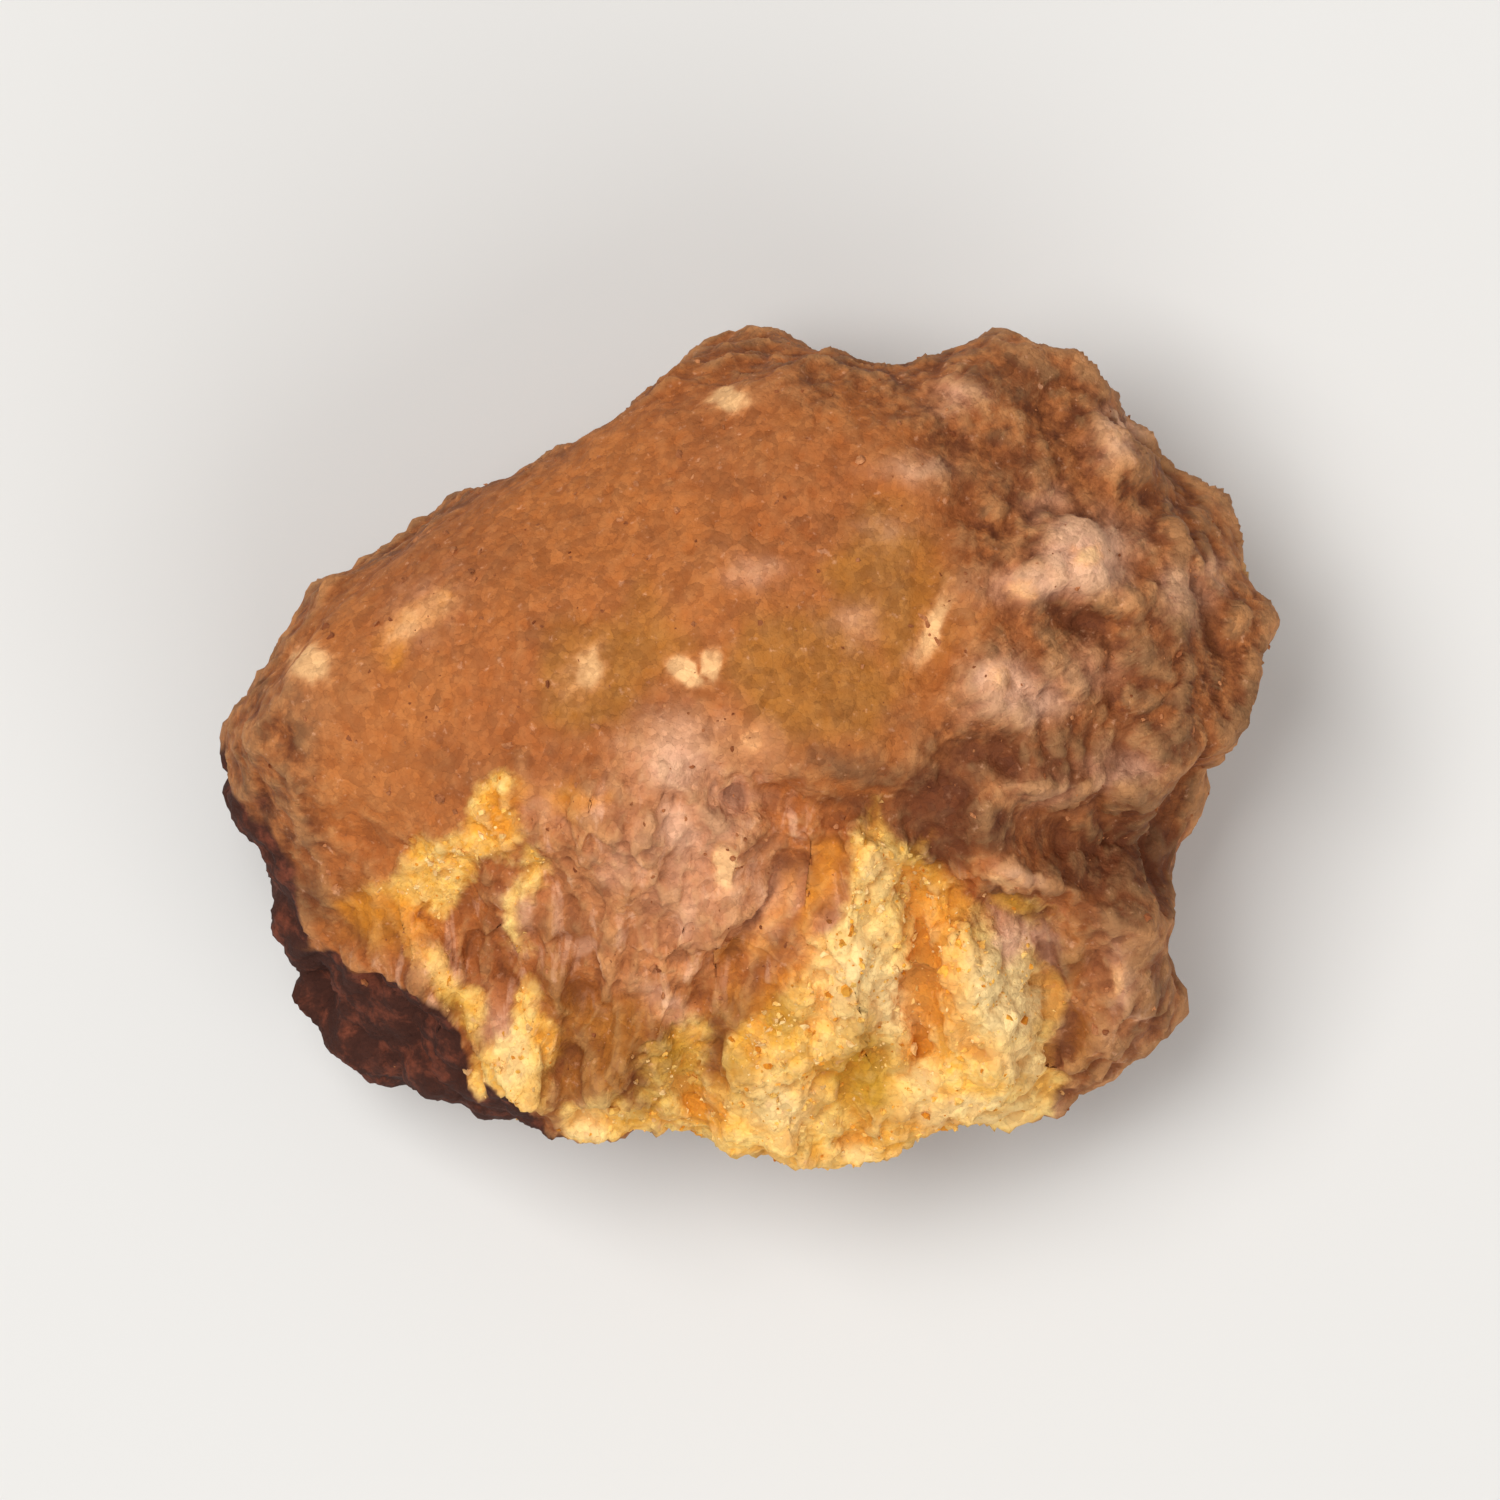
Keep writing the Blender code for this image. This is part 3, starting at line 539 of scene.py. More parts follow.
# Where they lie: how likely anywhere, how much likelier on gold and in hollows, how much less on crust, and
# how high above the floor they start. Then by what power small ones outnumber large ones, and how much
# more golden they are than what they lie on.
LOOSE_ANYWHERE = 0.03
LOOSE_ON_GOLD = 0.5
LOOSE_IN_HOLLOWS = 0.08
LOOSE_OFF_CRUST = 0.9
LOOSE_LOWEST_MM = 0.15
LOOSE_SMALLNESS = 1.8
LOOSE_GOLDEN = 1.4
LOOSE_SEED = 91

# The stage: lights are given by where they stand, how wide they are and what they add to a white floor.
KEY_FROM = (-0.34, 0.16, 1.0)
FILL_FROM = (0.45, -0.85, 0.9)
LIGHT_DISTANCE = 0.30
KEY_WIDTH = 0.16
FILL_WIDTH = 0.30
KEY_SHARE = 0.72
FILL_SHARE = 0.30
SKY_SHARE = 0.34
SKY_COLOUR = (1.0, 0.985, 0.96, 1.0)
# The floor: half its width, the size of its faint patches, how much darker they are, and its roughness.
FLOOR_HALF = 1.5
FLOOR_PATCH = 0.02
FLOOR_SHADE = 0.97
FLOOR_ROUGHNESS = 0.8
# The camera looks straight down.
CAMERA_FROM = (0.0, 0.0, 1.0)
CAMERA_END = 10.0


def scrambled(cell, seed):
    """A number from 0 to 1 for each whole-numbered cell: its three indices mixed by odd multipliers."""
    index = cell.astype(np.int64).astype(np.uint32)
    mixed = index[..., 0] * np.uint32(374761393) + index[..., 1] * np.uint32(668265263)
    mixed = mixed + index[..., 2] * np.uint32(2246822519) + np.uint32(seed * 3266489917 % 2**32)
    mixed = (mixed ^ (mixed >> np.uint32(13))) * np.uint32(1274126177)
    mixed = (mixed ^ (mixed >> np.uint32(15))) * np.uint32(2654435761)
    return (mixed ^ (mixed >> np.uint32(16))).astype(np.float64) / 2.0**32


def scrambled_vector(cell, seed):
    """Three numbers from 0 to 1 for each cell, one for each axis."""
    return np.stack([scrambled(cell, seed + axis) for axis in range(3)], axis=1)


def soft_noise(point, seed):
    """Smooth noise from -1 to 1: the eight corner values of each unit cell, eased between along each axis."""
    corner = np.floor(point)
    share = point - corner
    share = share**3 * (share * (share * 6 - 15) + 10)
    total = np.zeros(len(point))
    for step in np.ndindex(2, 2, 2):
        weight = np.prod(np.where(np.array(step) == 1, share, 1 - share), axis=1)
        total += weight * scrambled(corner + step, seed)
    return total * 2 - 1


def wandered(point, distance, length, seed):
    """The points moved by smooth noise, that far over that length, so that what is drawn on them wanders."""
    return point + distance * np.stack([soft_noise(point / length, seed + axis) for axis in range(3)], axis=1)


def octaves(point, layers, seed):
    """Smooth noise in layers, each of its own length and height."""
    return sum(
        height * soft_noise(point / length, seed + number) for number, (length, height) in enumerate(layers)
    )


def hewn(point, unevenness, seed):
    """Height of dished facets that meet in ridges, about 0 on the whole.

    It is the least, over the scattered middles round a point, of the squared distance from the middle,
    less a depth of that middle's own, and less the mean height.
    """
    corner = np.floor(point)
    least = np.full(len(point), np.inf)
    for step in np.ndindex(3, 3, 3):
        cell = corner + np.array(step) - 1
        away = point - cell - scrambled_vector(cell, seed)
        depth = unevenness * (scrambled(cell, seed + 3) - 0.5)
        least = np.minimum(least, np.sum(away**2, axis=1) - depth)
    return least - FACET_MEAN


def eased(value):
    """0 up to 0, 1 from 1 on, and a smooth S between."""
    share = np.clip(value, 0, 1)
    return share * share * (3 - 2 * share)


def between(value, low, high):
    """0 up to low, 1 from high on and a smooth S between, or the other way round where low is the higher."""
    return eased((value - low) / (high - low))


def ranged(share, limits):
    """The number that lies that share of the way from the first limit to the second."""
    low, high = limits
    return low + (high - low) * share


def within(point, middle, reach):
    """1 at the middle of an egg-shaped region and 0 from its edge on, falling evenly between them."""
    return np.clip(1 - np.linalg.norm((point - np.array(middle)) / np.array(reach), axis=1), 0, 1)


def plan_reach(bearing):
    """How far the outline reaches at each bearing, along a closed Catmull-Rom curve through PLAN_MM."""
    before, start, end, after = (np.roll(PLAN_MM, shift, axis=0) for shift in (1, 0, -1, -2))
    t = (np.arange(PLAN_STEPS) / PLAN_STEPS)[:, None, None]
    curve = 0.5 * (
        2 * start
        + (end - before) * t
        + (2 * before - 5 * start + 4 * end - after) * t**2
        + (3 * start - before - 3 * end + after) * t**3
    )
    curve = curve.reshape(-1, 2)
    angles = np.arctan2(curve[:, 1], curve[:, 0])
    order = np.argsort(angles)
    return np.interp(bearing, angles[order], np.hypot(*curve.T)[order], period=2 * np.pi)


def block(direction):
    """The block before wear, and the way that its skin faces.

    The reach is one over the p-norm of how soon each face is met, so that faces are flat and edges a
    little round. The facing is the mean of the faces' directions, each by its share in that norm.
    """
    level = np.hypot(direction[:, 0], direction[:, 1])
    reach = plan_reach(np.arctan2(direction[:, 1], direction[:, 0]))
    wall = (level / reach) ** WALL_SQUARENESS
    wall += (np.abs(direction[:, 2]) / WALL_HALF_HEIGHT_MM) ** WALL_SQUARENESS
    nearness = wall ** (EDGE_SHARPNESS / WALL_SQUARENESS)
    facing = nearness[:, None] * direction
    for normal, distance in BROKEN_FACES:
        unit = np.array(normal) / np.linalg.norm(normal)
        share = (np.clip(direction @ unit, 0, None) / distance) ** EDGE_SHARPNESS
        nearness += share
        facing += share[:, None] * unit
    facing /= np.linalg.norm(facing, axis=1)[:, None]
    return direction * (nearness ** (-1 / EDGE_SHARPNESS))[:, None], facing


def chipped(point):
    """Corners chipped off the sides and the underside: points beyond each chip's plane are laid onto it."""
    draw = np.random.default_rng(CHIP_SEED)
    for _ in range(CHIPS):
        normal = draw.normal(size=3)
        normal[2] = min(normal[2], CHIP_HIGHEST_FACING)
        normal /= np.linalg.norm(normal)
        depth = draw.uniform(CHIP_SHALLOWEST, CHIP_DEEPEST)
        along = point @ normal
        beyond = np.clip(along - along.max() * (1 - depth), 0, None)
        point = point - beyond[:, None] * normal
    return point


def hollowed(point):
    """Hollows: points inside each ball move out to its skin, which leaves a dished break."""
    for centre, radius in HOLLOWS:
        away = point - np.array(centre)
        distance = np.linalg.norm(away, axis=1)
        pushed = np.array(centre) + away * (radius / distance)[:, None]
        point = np.where((distance < radius)[:, None], pushed, point)
    return point


def bells(point, spots):
    """For each spot drawn from above: a bell, 1 at its middle, and the spot's last number."""
    for x, y, half_length, half_width, turn, last in spots:
        angle = np.radians(turn)
        away = point[:, :2] - (x, y)
        along = (away[:, 0] * np.cos(angle) + away[:, 1] * np.sin(angle)) / half_length
        across = (away[:, 1] * np.cos(angle) - away[:, 0] * np.sin(angle)) / half_width
        yield np.exp(-(along**2) - across**2), last


def from_path(point, path):
    """Each point's distance, seen from above, from the nearest stretch of the path."""
    nearest = np.full(len(point), np.inf)
    for start, end in zip(np.array(path[:-1]), np.array(path[1:])):
        run = end - start
        share = np.clip((point[:, :2] - start) @ run / (run @ run), 0, 1)
        nearest = np.minimum(nearest, np.linalg.norm(point[:, :2] - start - share[:, None] * run, axis=1))
    return nearest


def top_rise(point):
    """Height of the lumps and folds that are drawn from above, each a bell across its width."""
    point = wandered(point, WANDER_MM, WANDER_LENGTH_MM, WANDER_SEED)
    rise = sum(height * bell for bell, height in bells(point, TOP_LUMPS))
    for path, half_width, height in FOLDS:
        rise += height * np.exp(-((from_path(point, path) / half_width) ** 2))
    return rise


def below_edge(point):
    """1 on the splintered break, 0 above its upper edge, seen from above."""
    edge_x, edge_y = np.array(SPLINTER_EDGE_MM).T
    return eased((np.interp(point[:, 0], edge_x, edge_y) - point[:, 1]) / SPLINTER_FADE_MM)


def smooth_face(point):
    """1 on the smooth face, 0 away from it."""
    return eased(within(point, SMOOTH_MIDDLE_MM, SMOOTH_REACH_MM) / SMOOTH_FADE)


def knobbly_end(point):
    """1 on the knobbly end, 0 away from it."""
    return eased(within(point, KNOB_MIDDLE_MM, KNOB_REACH_MM) / KNOB_FADE)


def skin_rise(point, upward):
    """Height of the swells, facets and knobs, which follow the skin all round, and of the splinters above."""
    rise = octaves(point, SWELLS_MM, SWELL_SEED)
    ragged = wandered(point, WANDER_MM, WANDER_LENGTH_MM, WANDER_SEED)
    knobbly, splintered = knobbly_end(point), below_edge(point) * upward
    plain = (1 - smooth_face(point) * (1 - SMOOTH_SHARE)) * (1 - knobbly) * (1 - splintered)
    rise += FACET_RISE_MM * plain * hewn(ragged / FACET_SIZE_MM, FACET_UNEVENNESS, FACET_SEED)
    rise -= KNOB_RISE_MM * knobbly * hewn(ragged / KNOB_SIZE_MM, KNOB_UNEVENNESS, KNOB_SEED)
    splinters = hewn(ragged / np.array(SPLINTER_SIZE_MM), SPLINTER_UNEVENNESS, SPLINTER_SEED)
    return rise + SPLINTER_RISE_MM * splintered * splinters


def skin(direction):
    """The chunk's main form for each direction from its core, in millimetres."""
    point, facing = block(direction)
    point = hollowed(chipped(point))
    upward = eased(facing[:, 2] / FACING_FULL)
    raised = point + skin_rise(point, upward)[:, None] * facing
    raised[:, 2] += top_rise(point) * upward
    return raised


def shards(point, seed):
    """The shard of each point, the one whose scattered middle is nearest.

    Gives the way from that middle to the point, the point's lead over the next shard, and the shard's cell.
    """
    corner = np.floor(point)
    nearest = np.full(len(point), np.inf)
    second = np.full(len(point), np.inf)
    away = np.zeros(point.shape)
    owner = np.zeros(point.shape)
    for step in np.ndindex(3, 3, 3):
        cell = corner + np.array(step) - 1
        offset = point - cell - scrambled_vector(cell, seed)
        distance = np.linalg.norm(offset, axis=1)
        closer = distance < nearest
        second = np.where(closer, nearest, np.minimum(second, distance))
        away = np.where(closer[:, None], offset, away)
        owner = np.where(closer[:, None], cell, owner)
        nearest = np.where(closer, distance, nearest)
    return away, second - nearest, owner


def tilted(away, owner, seed):
    """Height of a shard that slopes its own way: the way from its middle times slopes from -1 to 1."""
    return np.sum((2 * scrambled_vector(owner, seed) - 1) * away, axis=1)


def ball_grid(count, equator):
    """A closed grid over a ball: the direction of each vertex, and the four vertices of each face.

    A square is folded round the ball: its middle is the top, and its corners meet at the bottom. With
    r = |u| + |v|, the angle down from the top grows evenly to the equator and then evenly to the bottom
    at r = 2. The bearing's share of its quarter is |v| / r up to r = 1, and (1 - |u|) / (2 - r) after.
    """
    line = np.linspace(-1, 1, count + 1)
    u, v = (axis.ravel() for axis in np.meshgrid(line, line, indexing="ij"))
    across, up = np.abs(u), np.abs(v)
    ring = across + up
    share = np.where(ring <= 1, up / np.maximum(ring, TINY), (1 - across) / np.maximum(2 - ring, TINY))
    down = np.interp(ring, (0, equator, 2), (0, np.pi / 2, np.pi))
    bearing = share * np.pi / 2
    level = np.sin(down)
    direction = np.stack(
        [level * np.cos(bearing) * np.sign(u), level * np.sin(bearing) * np.sign(v), np.cos(down)], axis=1
    )
    number = np.arange((count + 1) ** 2).reshape(count + 1, count + 1)
    for edge in (number[0], number[-1], number[:, 0], number[:, -1]):
        edge[:] = np.minimum(edge, edge[::-1].copy())
    corners = (number[:-1, :-1], number[1:, :-1], number[1:, 1:], number[:-1, 1:])
    kept, renumbered = np.unique(np.stack(corners, axis=-1).reshape(-1, 4), return_inverse=True)
    return direction[kept], renumbered.reshape(-1, 4)


def neighbour_mean(value, faces, rounds):
    """Values averaged with their neighbours along the grid, that many times over."""
    start, end = faces.ravel(), np.roll(faces, -1, axis=1).ravel()
    size = len(value)
    count = np.bincount(start, minlength=size) + np.bincount(end, minlength=size)
    for _ in range(rounds):
        total = np.bincount(start, value[end], size) + np.bincount(end, value[start], size)
        value = (value + total / count) / 2
    return value


def grid_normals(point, faces):
    """The way that the grid faces at each vertex: the sum of the cross products of its faces' diagonals."""
    corner = point[faces]
    cross = np.cross(corner[:, 2] - corner[:, 0], corner[:, 3] - corner[:, 1])
    normal = np.zeros(point.shape)
    for axis in range(3):
        for place in range(4):
            normal[:, axis] += np.bincount(faces[:, place], cross[:, axis], len(point))
    return normal / np.linalg.norm(normal, axis=1)[:, None]


def hollow_depth(point, normal, faces, rounds):
    """How far each vertex lies below the level of the skin round it, in millimetres."""
    level = np.stack([neighbour_mean(point[:, axis], faces, rounds) for axis in range(3)], axis=1)
    return np.sum((level - point) * normal, axis=1)


def inside(point, outline):
    """Each point's distance, seen from above, inside an outline, and below 0 outside it.

    A point is inside where a ray along X crosses the outline an odd number of times.
    """
    closed = (*outline, outline[0])
    odd = np.zeros(len(point), bool)
    for (start_x, start_y), (end_x, end_y) in zip(closed[:-1], closed[1:]):
        spans = (start_y > point[:, 1]) != (end_y > point[:, 1])
        crossing = start_x + (point[:, 1] - start_y) * (end_x - start_x) / (end_y - start_y + TINY)
        odd ^= spans & (point[:, 0] < crossing)
    return np.where(odd, 1, -1) * from_path(point, closed)


def zone(point, name):
    """1 inside a named zone's outlines and 0 outside, seen from above, with soft and wandering edges."""
    softness, outlines = ZONES[name]
    seed = SEEDS["zone"] + 5 * list(ZONES).index(name)
    ragged = wandered(point, ZONE_WANDER_MM, ZONE_WANDER_LENGTH_MM, seed)
    depth = np.max([inside(ragged, outline) for outline in outlines], axis=0)
    return eased(depth / softness + 0.5)


def crust_share(point, broad):
    """1 on the charred crust, outside its line seen from above or where the skin faces its way, else 0. On
    the lower-left flank it is partly painted shade.
    """
    ragged = octaves(point, CRUST_RAGGED_MM, SEEDS["crust"])
    flank = between(broad @ CRUST_AND_SHADE_FACING + ragged, *CRUST_MATCH) * between(point[:, 0], *CRUST_END_MM)
    return np.maximum(zone(point, "crust") * between(point[:, 2], *CRUST_FOOT_MM), flank)


def gold_share(point, normal, broad):
    """1 on the golden break, seen from above, on the front wall and in patches below, and 0 elsewhere."""
    ragged = octaves(point, GOLD_WALL_RAGGED_MM, SEEDS["gold"])
    wall = between(broad @ GOLD_WALL_FACING + ragged, *GOLD_WALL_MATCH)
    for end in GOLD_WALL_ENDS_MM:
        wall *= between(point[:, 0], *end)
    wall *= between(point[:, 2], *GOLD_WALL_FOOT_MM) * between(point[:, 2], *GOLD_WALL_TOP_MM)
    patch = between(octaves(point, GOLD_PATCHES_MM, SEEDS["gold"] + 1), *GOLD_PATCH_LEVEL)
    patch *= between(point[:, 2], *GOLD_PATCH_TOP_MM) * between(broad[:, 2], *GOLD_PATCH_FACING)
    above = zone(point, "gold") * between(normal[:, 2], *LOOKING_UP["gold"])
    return np.maximum(above, GOLD_BELOW * np.maximum(wall, patch))


def spot_share(point, normal, spots, seed):
    """The strongest of the spots drawn from above at each point, with wandering edges."""
    ragged = wandered(point, SPOT_WANDER_MM, SPOT_WANDER_LENGTH_MM, seed)
    strongest = np.max([strength * bell for bell, strength in bells(ragged, spots)], axis=0)
    return strongest * between(normal[:, 2], *LOOKING_UP["spots"])


def fleck_share(point, normal):
    """1 on the cream flecks, the large ones drawn from above, a few of them painted highlights on lumps, and
    small ones strewn all round.
    """
    ragged = wandered(point, FLECK_WANDER_MM, FLECK_WANDER_LENGTH_MM, SEEDS["fleck"])
    drawn = [strength * between(bell, *FLECK_EDGE) for bell, strength in bells(ragged, FLECKS_AND_HIGHLIGHTS)]
    drawn = np.max(drawn, axis=0) * between(normal[:, 2], *LOOKING_UP["spots"])
    away, _, owner = shards(ragged / STREWN_CELL_MM, SEEDS["strewn"])
    chance, reach, strength = (scrambled(owner, SEEDS["strewn"] + number) for number in (5, 6, 7))
    reach = ranged(reach, STREWN_REACH)
    near = between(np.linalg.norm(away * STREWN_STRETCH, axis=1), reach, reach - STREWN_EDGE)
    strewn = (chance < STREWN_SHARE) * near * ranged(strength, STREWN_STRENGTH)
    return np.maximum(drawn, strewn)


def zones_of(point, normal, broad):
    """Every zone's share at each vertex, by name, from the way that it faces there and more broadly."""
    crust = crust_share(point, broad)
    upward = between(normal[:, 2], *LOOKING_UP["zones"])
    zones = {name: zone(point, name) * upward for name in ("orange", "pink", "olive")}
    above = zone(point, "purple") * between(normal[:, 2], *LOOKING_UP["purple"])
    # The purplish mottle on the sides that look little up: partly painted shade.
    zones["purple"] = np.maximum(above, between(broad[:, 2], *PURPLE_AND_SHADE_FACING))
    zones["gold"] = gold_share(point, normal, broad) * (1 - crust)
    zones["fleck"] = fleck_share(point, normal) * (1 - crust)
    # Pale spots: partly pale patches, partly painted highlights on lumps and golden facets.
    zones["pale"] = spot_share(point, normal, PALE_SPOTS_AND_HIGHLIGHTS, SEEDS["pale"])
    # Dark spots: partly dark mottle, partly painted shade.
    zones["dark"] = spot_share(point, normal, DARK_SPOTS_AND_SHADE, SEEDS["dark"])
    zones["crust"] = crust
    zones["broken"] = below_edge(point) * between(normal[:, 2], *LOOKING_UP["broken"])
    return zones


def facets(point, layers, seed):
    """Height of dished facets in layers, each of its own size, unevenness and rise."""
    return sum(
        rise * hewn(point / np.array(size), unevenness, seed + 7 * number)
        for number, (size, unevenness, rise) in enumerate(layers)
    )


def crumbly(point, size, seed):
    """Height of packed crumbs of that size: each a plateau of its own height and tilt, in a groove."""
    away, lead, owner = shards(point / (size * CRUMB_STRETCH), seed)
    plateau = ranged(scrambled(owner, seed + 5), PLATEAU_HEIGHTS) * eased(lead / PLATEAU_GROOVE)
    tilt = PLATEAU_TILT * tilted(away, owner, seed + 6) * eased(lead / PLATEAU_TILT_GROOVE)
    return plateau + tilt - PLATEAU_MEAN


def grounds(point, zones):
    """How much of each kind of ground there is at each vertex, by name."""
    gold, crust = zones["gold"], zones["crust"]
    cork = (1 - gold) * (1 - crust)
    broken = below_edge(point) * cork
    knobbly = knobbly_end(point) * cork * (1 - broken)
    smooth = smooth_face(point) * cork * (1 - broken)
    side = cork * (1 - broken) * (1 - knobbly) * (1 - smooth)
    shares = {"broken": broken, "knobbly": knobbly, "smooth": smooth, "side": side}
    return {"all": 1.0, "gold": gold, "crust": crust, **shares}


def grain_rise(point, zones, settings):
    """Height of the fine grain, from the cork's own unevenness to crumbs, pores and cracked crust."""
    ground = grounds(point, zones)
    share = {
        kind: sum(amount * ground[name] for name, amount in amounts.items())
        for kind, amounts in GRAIN_SHARES.items()
    }
    ragged = wandered(point, GRAIN_WANDER_MM, GRAIN_WANDER_LENGTH_MM, SEEDS["grain"] + 5)
    rise = octaves(point, GRAIN_OCTAVES_MM, SEEDS["grain"]) * settings.grain_height / MM * share["unevenness"]
    away, _, _ = shards(point / GRANULE_MM, SEEDS["granule"])
    granule = GRANULE_TOP - GRANULE_FALL * np.sum(away**2, axis=1)
    rise += settings.granule_height / MM * granule * share["granules"]
    rise += facets(ragged, BREAK_FACETS_MM, SEEDS["break"]) * share["break facets"]
    rise += facets(ragged, SIDE_FACETS_MM, SEEDS["side"]) * share["side facets"]
    rise += facets(ragged, NODULES_MM, SEEDS["nodule"]) * share["nodules"]
    for octave, (length, height) in enumerate(CRUMB_OCTAVES_MM):
        packed = crumbly(point, length, SEEDS["crumb"] + 10 * octave)
        rise += settings.crumb_height / MM * height * packed * share["packed crumbs"]
    away, _, owner = shards(point / PORE_CELL_MM, SEEDS["pore"])
    pored = scrambled(owner, SEEDS["pore"] + 5) < PORE_SHARE
    pit = np.clip(1 - PORE_STEEPNESS * np.sum(away**2, axis=1), 0, 1)
    rise += settings.pore_depth / MM * pored * pit * share["pores"]
    rise += settings.crust_height * facets(ragged, CRUST_PLATES_MM, SEEDS["plate"]) * share["plates"]
    speckle = FLECK_LEVEL + soft_noise(point / SPECKLE_MM, SEEDS["speckle"])
    return rise + FLECK_RISE_MM * zones["fleck"] * speckle


def placed(name, data):
    """A new object with that data, in the scene."""
    made = bpy.data.objects.new(name, data)
    bpy.context.scene.collection.objects.link(made)
    return made


def mesh_object(name, point_mm, faces, attributes, smooth=True):
    """A mesh object in metres from arrays in millimetres, with a value at each vertex for each attribute."""
    data = bpy.data.meshes.new(name)
    data.from_pydata(point_mm * MM, [], faces)
    for label, values in attributes.items():
        layer = data.attributes.new(label, "FLOAT", "POINT")
        layer.data.foreach_set("value", values.astype(np.float32))
    if smooth:
        data.shade_smooth()
    return placed(name, data)


def dressed(piece, material):
    """The piece with its material, riding on the body."""
    piece.data.materials.append(material)
    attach(piece, BODY)
    return piece


def box_middle(point):
    """The middle of the points' box along each axis."""
    return (point.min(axis=0) + point.max(axis=0)) / 2


def fine_skin(settings):
    """The chunk's skin with its grain, in millimetres in the frame's axes, with its faces and zones.

    The main form is cut flat at the resting break, grain is added along the normals and never below
    that break, and the whole is set so that the main form's box has the frame's middle.
    """
    direction, faces = ball_grid(settings.grid_squares, EQUATOR)
    form = skin(direction)
    form[:, 2] = np.maximum(form[:, 2], -REST_DEPTH_MM)
    normal = grid_normals(form, faces)
    level = np.stack([neighbour_mean(form[:, axis], faces, BROAD_ROUNDS) for axis in range(3)], axis=1)
    zones = zones_of(form, normal, grid_normals(level, faces))
    point = form + grain_rise(form, zones, settings)[:, None] * normal
    point[:, 2] = np.maximum(point[:, 2], -REST_DEPTH_MM)
    normal = grid_normals(point, faces)
    for label, (rounds, full) in HOLLOW_LEVELS.items():
        zones[label] = np.clip(hollow_depth(point, normal, faces, rounds) / full, -1, 1)
    low, high = (np.array(corner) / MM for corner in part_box(NODE))
    place = (low + high) / 2 - box_middle(form)
    place[2] = low[2] + REST_DEPTH_MM
    return point + place, faces, zones


def feed(tree, socket, value):
    """Sets a socket: a link where the value is another socket, or else a constant."""
    if isinstance(value, bpy.types.NodeSocket):
        tree.links.new(value, socket)
    else:
        socket.default_value = value


def add_node(tree, kind, inputs=None, **settings):
    """A node of that kind with its own settings and its inputs fed by name or number."""
    made = tree.nodes.new(kind)
    for name, value in settings.items():
        setattr(made, name, value)
    for key, value in (inputs or {}).items():
        feed(tree, made.inputs[key], value)
    return made


def maths(tree, operation, first, second=0.0, third=0.0):
    """The value of a maths node."""
    return add_node(tree, "ShaderNodeMath", {0: first, 1: second, 2: third}, operation=operation).outputs[0]


def times(tree, first, second):
    """The product of two values."""
    return maths(tree, "MULTIPLY", first, second)


def mixed(tree, share, below, above, blend="MIX"):
    """A colour that goes from below to above by the share."""
    made = add_node(tree, "ShaderNodeMix", {0: share, 6: below, 7: above}, data_type="RGBA", blend_type=blend)
    made.clamp_factor = True
    return made.outputs[2]


def noise(tree, where, size, detail=3.0, roughness=0.55, distortion=0.0):
    """Noise from 0 to 1 whose patches are about that size in metres."""
    inputs = {"Vector": where, "Scale": 1 / size, "Detail": detail, "Roughness": roughness}
    inputs["Distortion"] = distortion
    return add_node(tree, "ShaderNodeTexNoise", inputs).outputs["Fac"]


def stepped(tree, value, low, high):
    """0 below low, 1 above high and a smooth step between."""
    inputs = {"Value": value, "From Min": low, "From Max": high}
    return add_node(tree, "ShaderNodeMapRange", inputs, interpolation_type="SMOOTHSTEP").outputs[0]


def attribute(tree, name):
    """The value that the mesh holds at each vertex under that name."""
    return add_node(tree, "ShaderNodeAttribute", attribute_name=name).outputs["Fac"]


def ragged_share(tree, share, pattern, amount, softness):
    """A zone's share with its edge broken up by a pattern from 0 to 1."""
    pushed = maths(tree, "MULTIPLY_ADD", maths(tree, "SUBTRACT", pattern, 0.5), amount, share)
    return stepped(tree, pushed, 0.5 - softness, 0.5 + softness)


def vector_maths(tree, operation, first, second):
    """The result of a vector maths node: a value for a dot product, a vector otherwise."""
    made = add_node(tree, "ShaderNodeVectorMath", {0: first, 1: second}, operation=operation)
    return made.outputs["Value" if operation == "DOT_PRODUCT" else "Vector"]


def granules(tree, where, fineness):
    """Granules, each of its own tone and slope: the tone from 0 to 1, and the height in granule sizes."""
    inputs = {"Vector": where, "Scale": fineness, "Randomness": 1.0}
    cells = add_node(tree, "ShaderNodeTexVoronoi", inputs)
    away = vector_maths(tree, "SUBTRACT", where, cells.outputs["Position"])
    slope = vector_maths(tree, "SUBTRACT", cells.outputs["Color"], (0.5, 0.5, 0.5))
    lean = times(tree, vector_maths(tree, "DOT_PRODUCT", away, slope), fineness)
    tone = vector_maths(tree, "DOT_PRODUCT", cells.outputs["Color"], (1 / 3, 1 / 3, 1 / 3))
    return tone, maths(tree, "MULTIPLY_ADD", cells.outputs["Distance"], GRANULE_BULGE, lean)


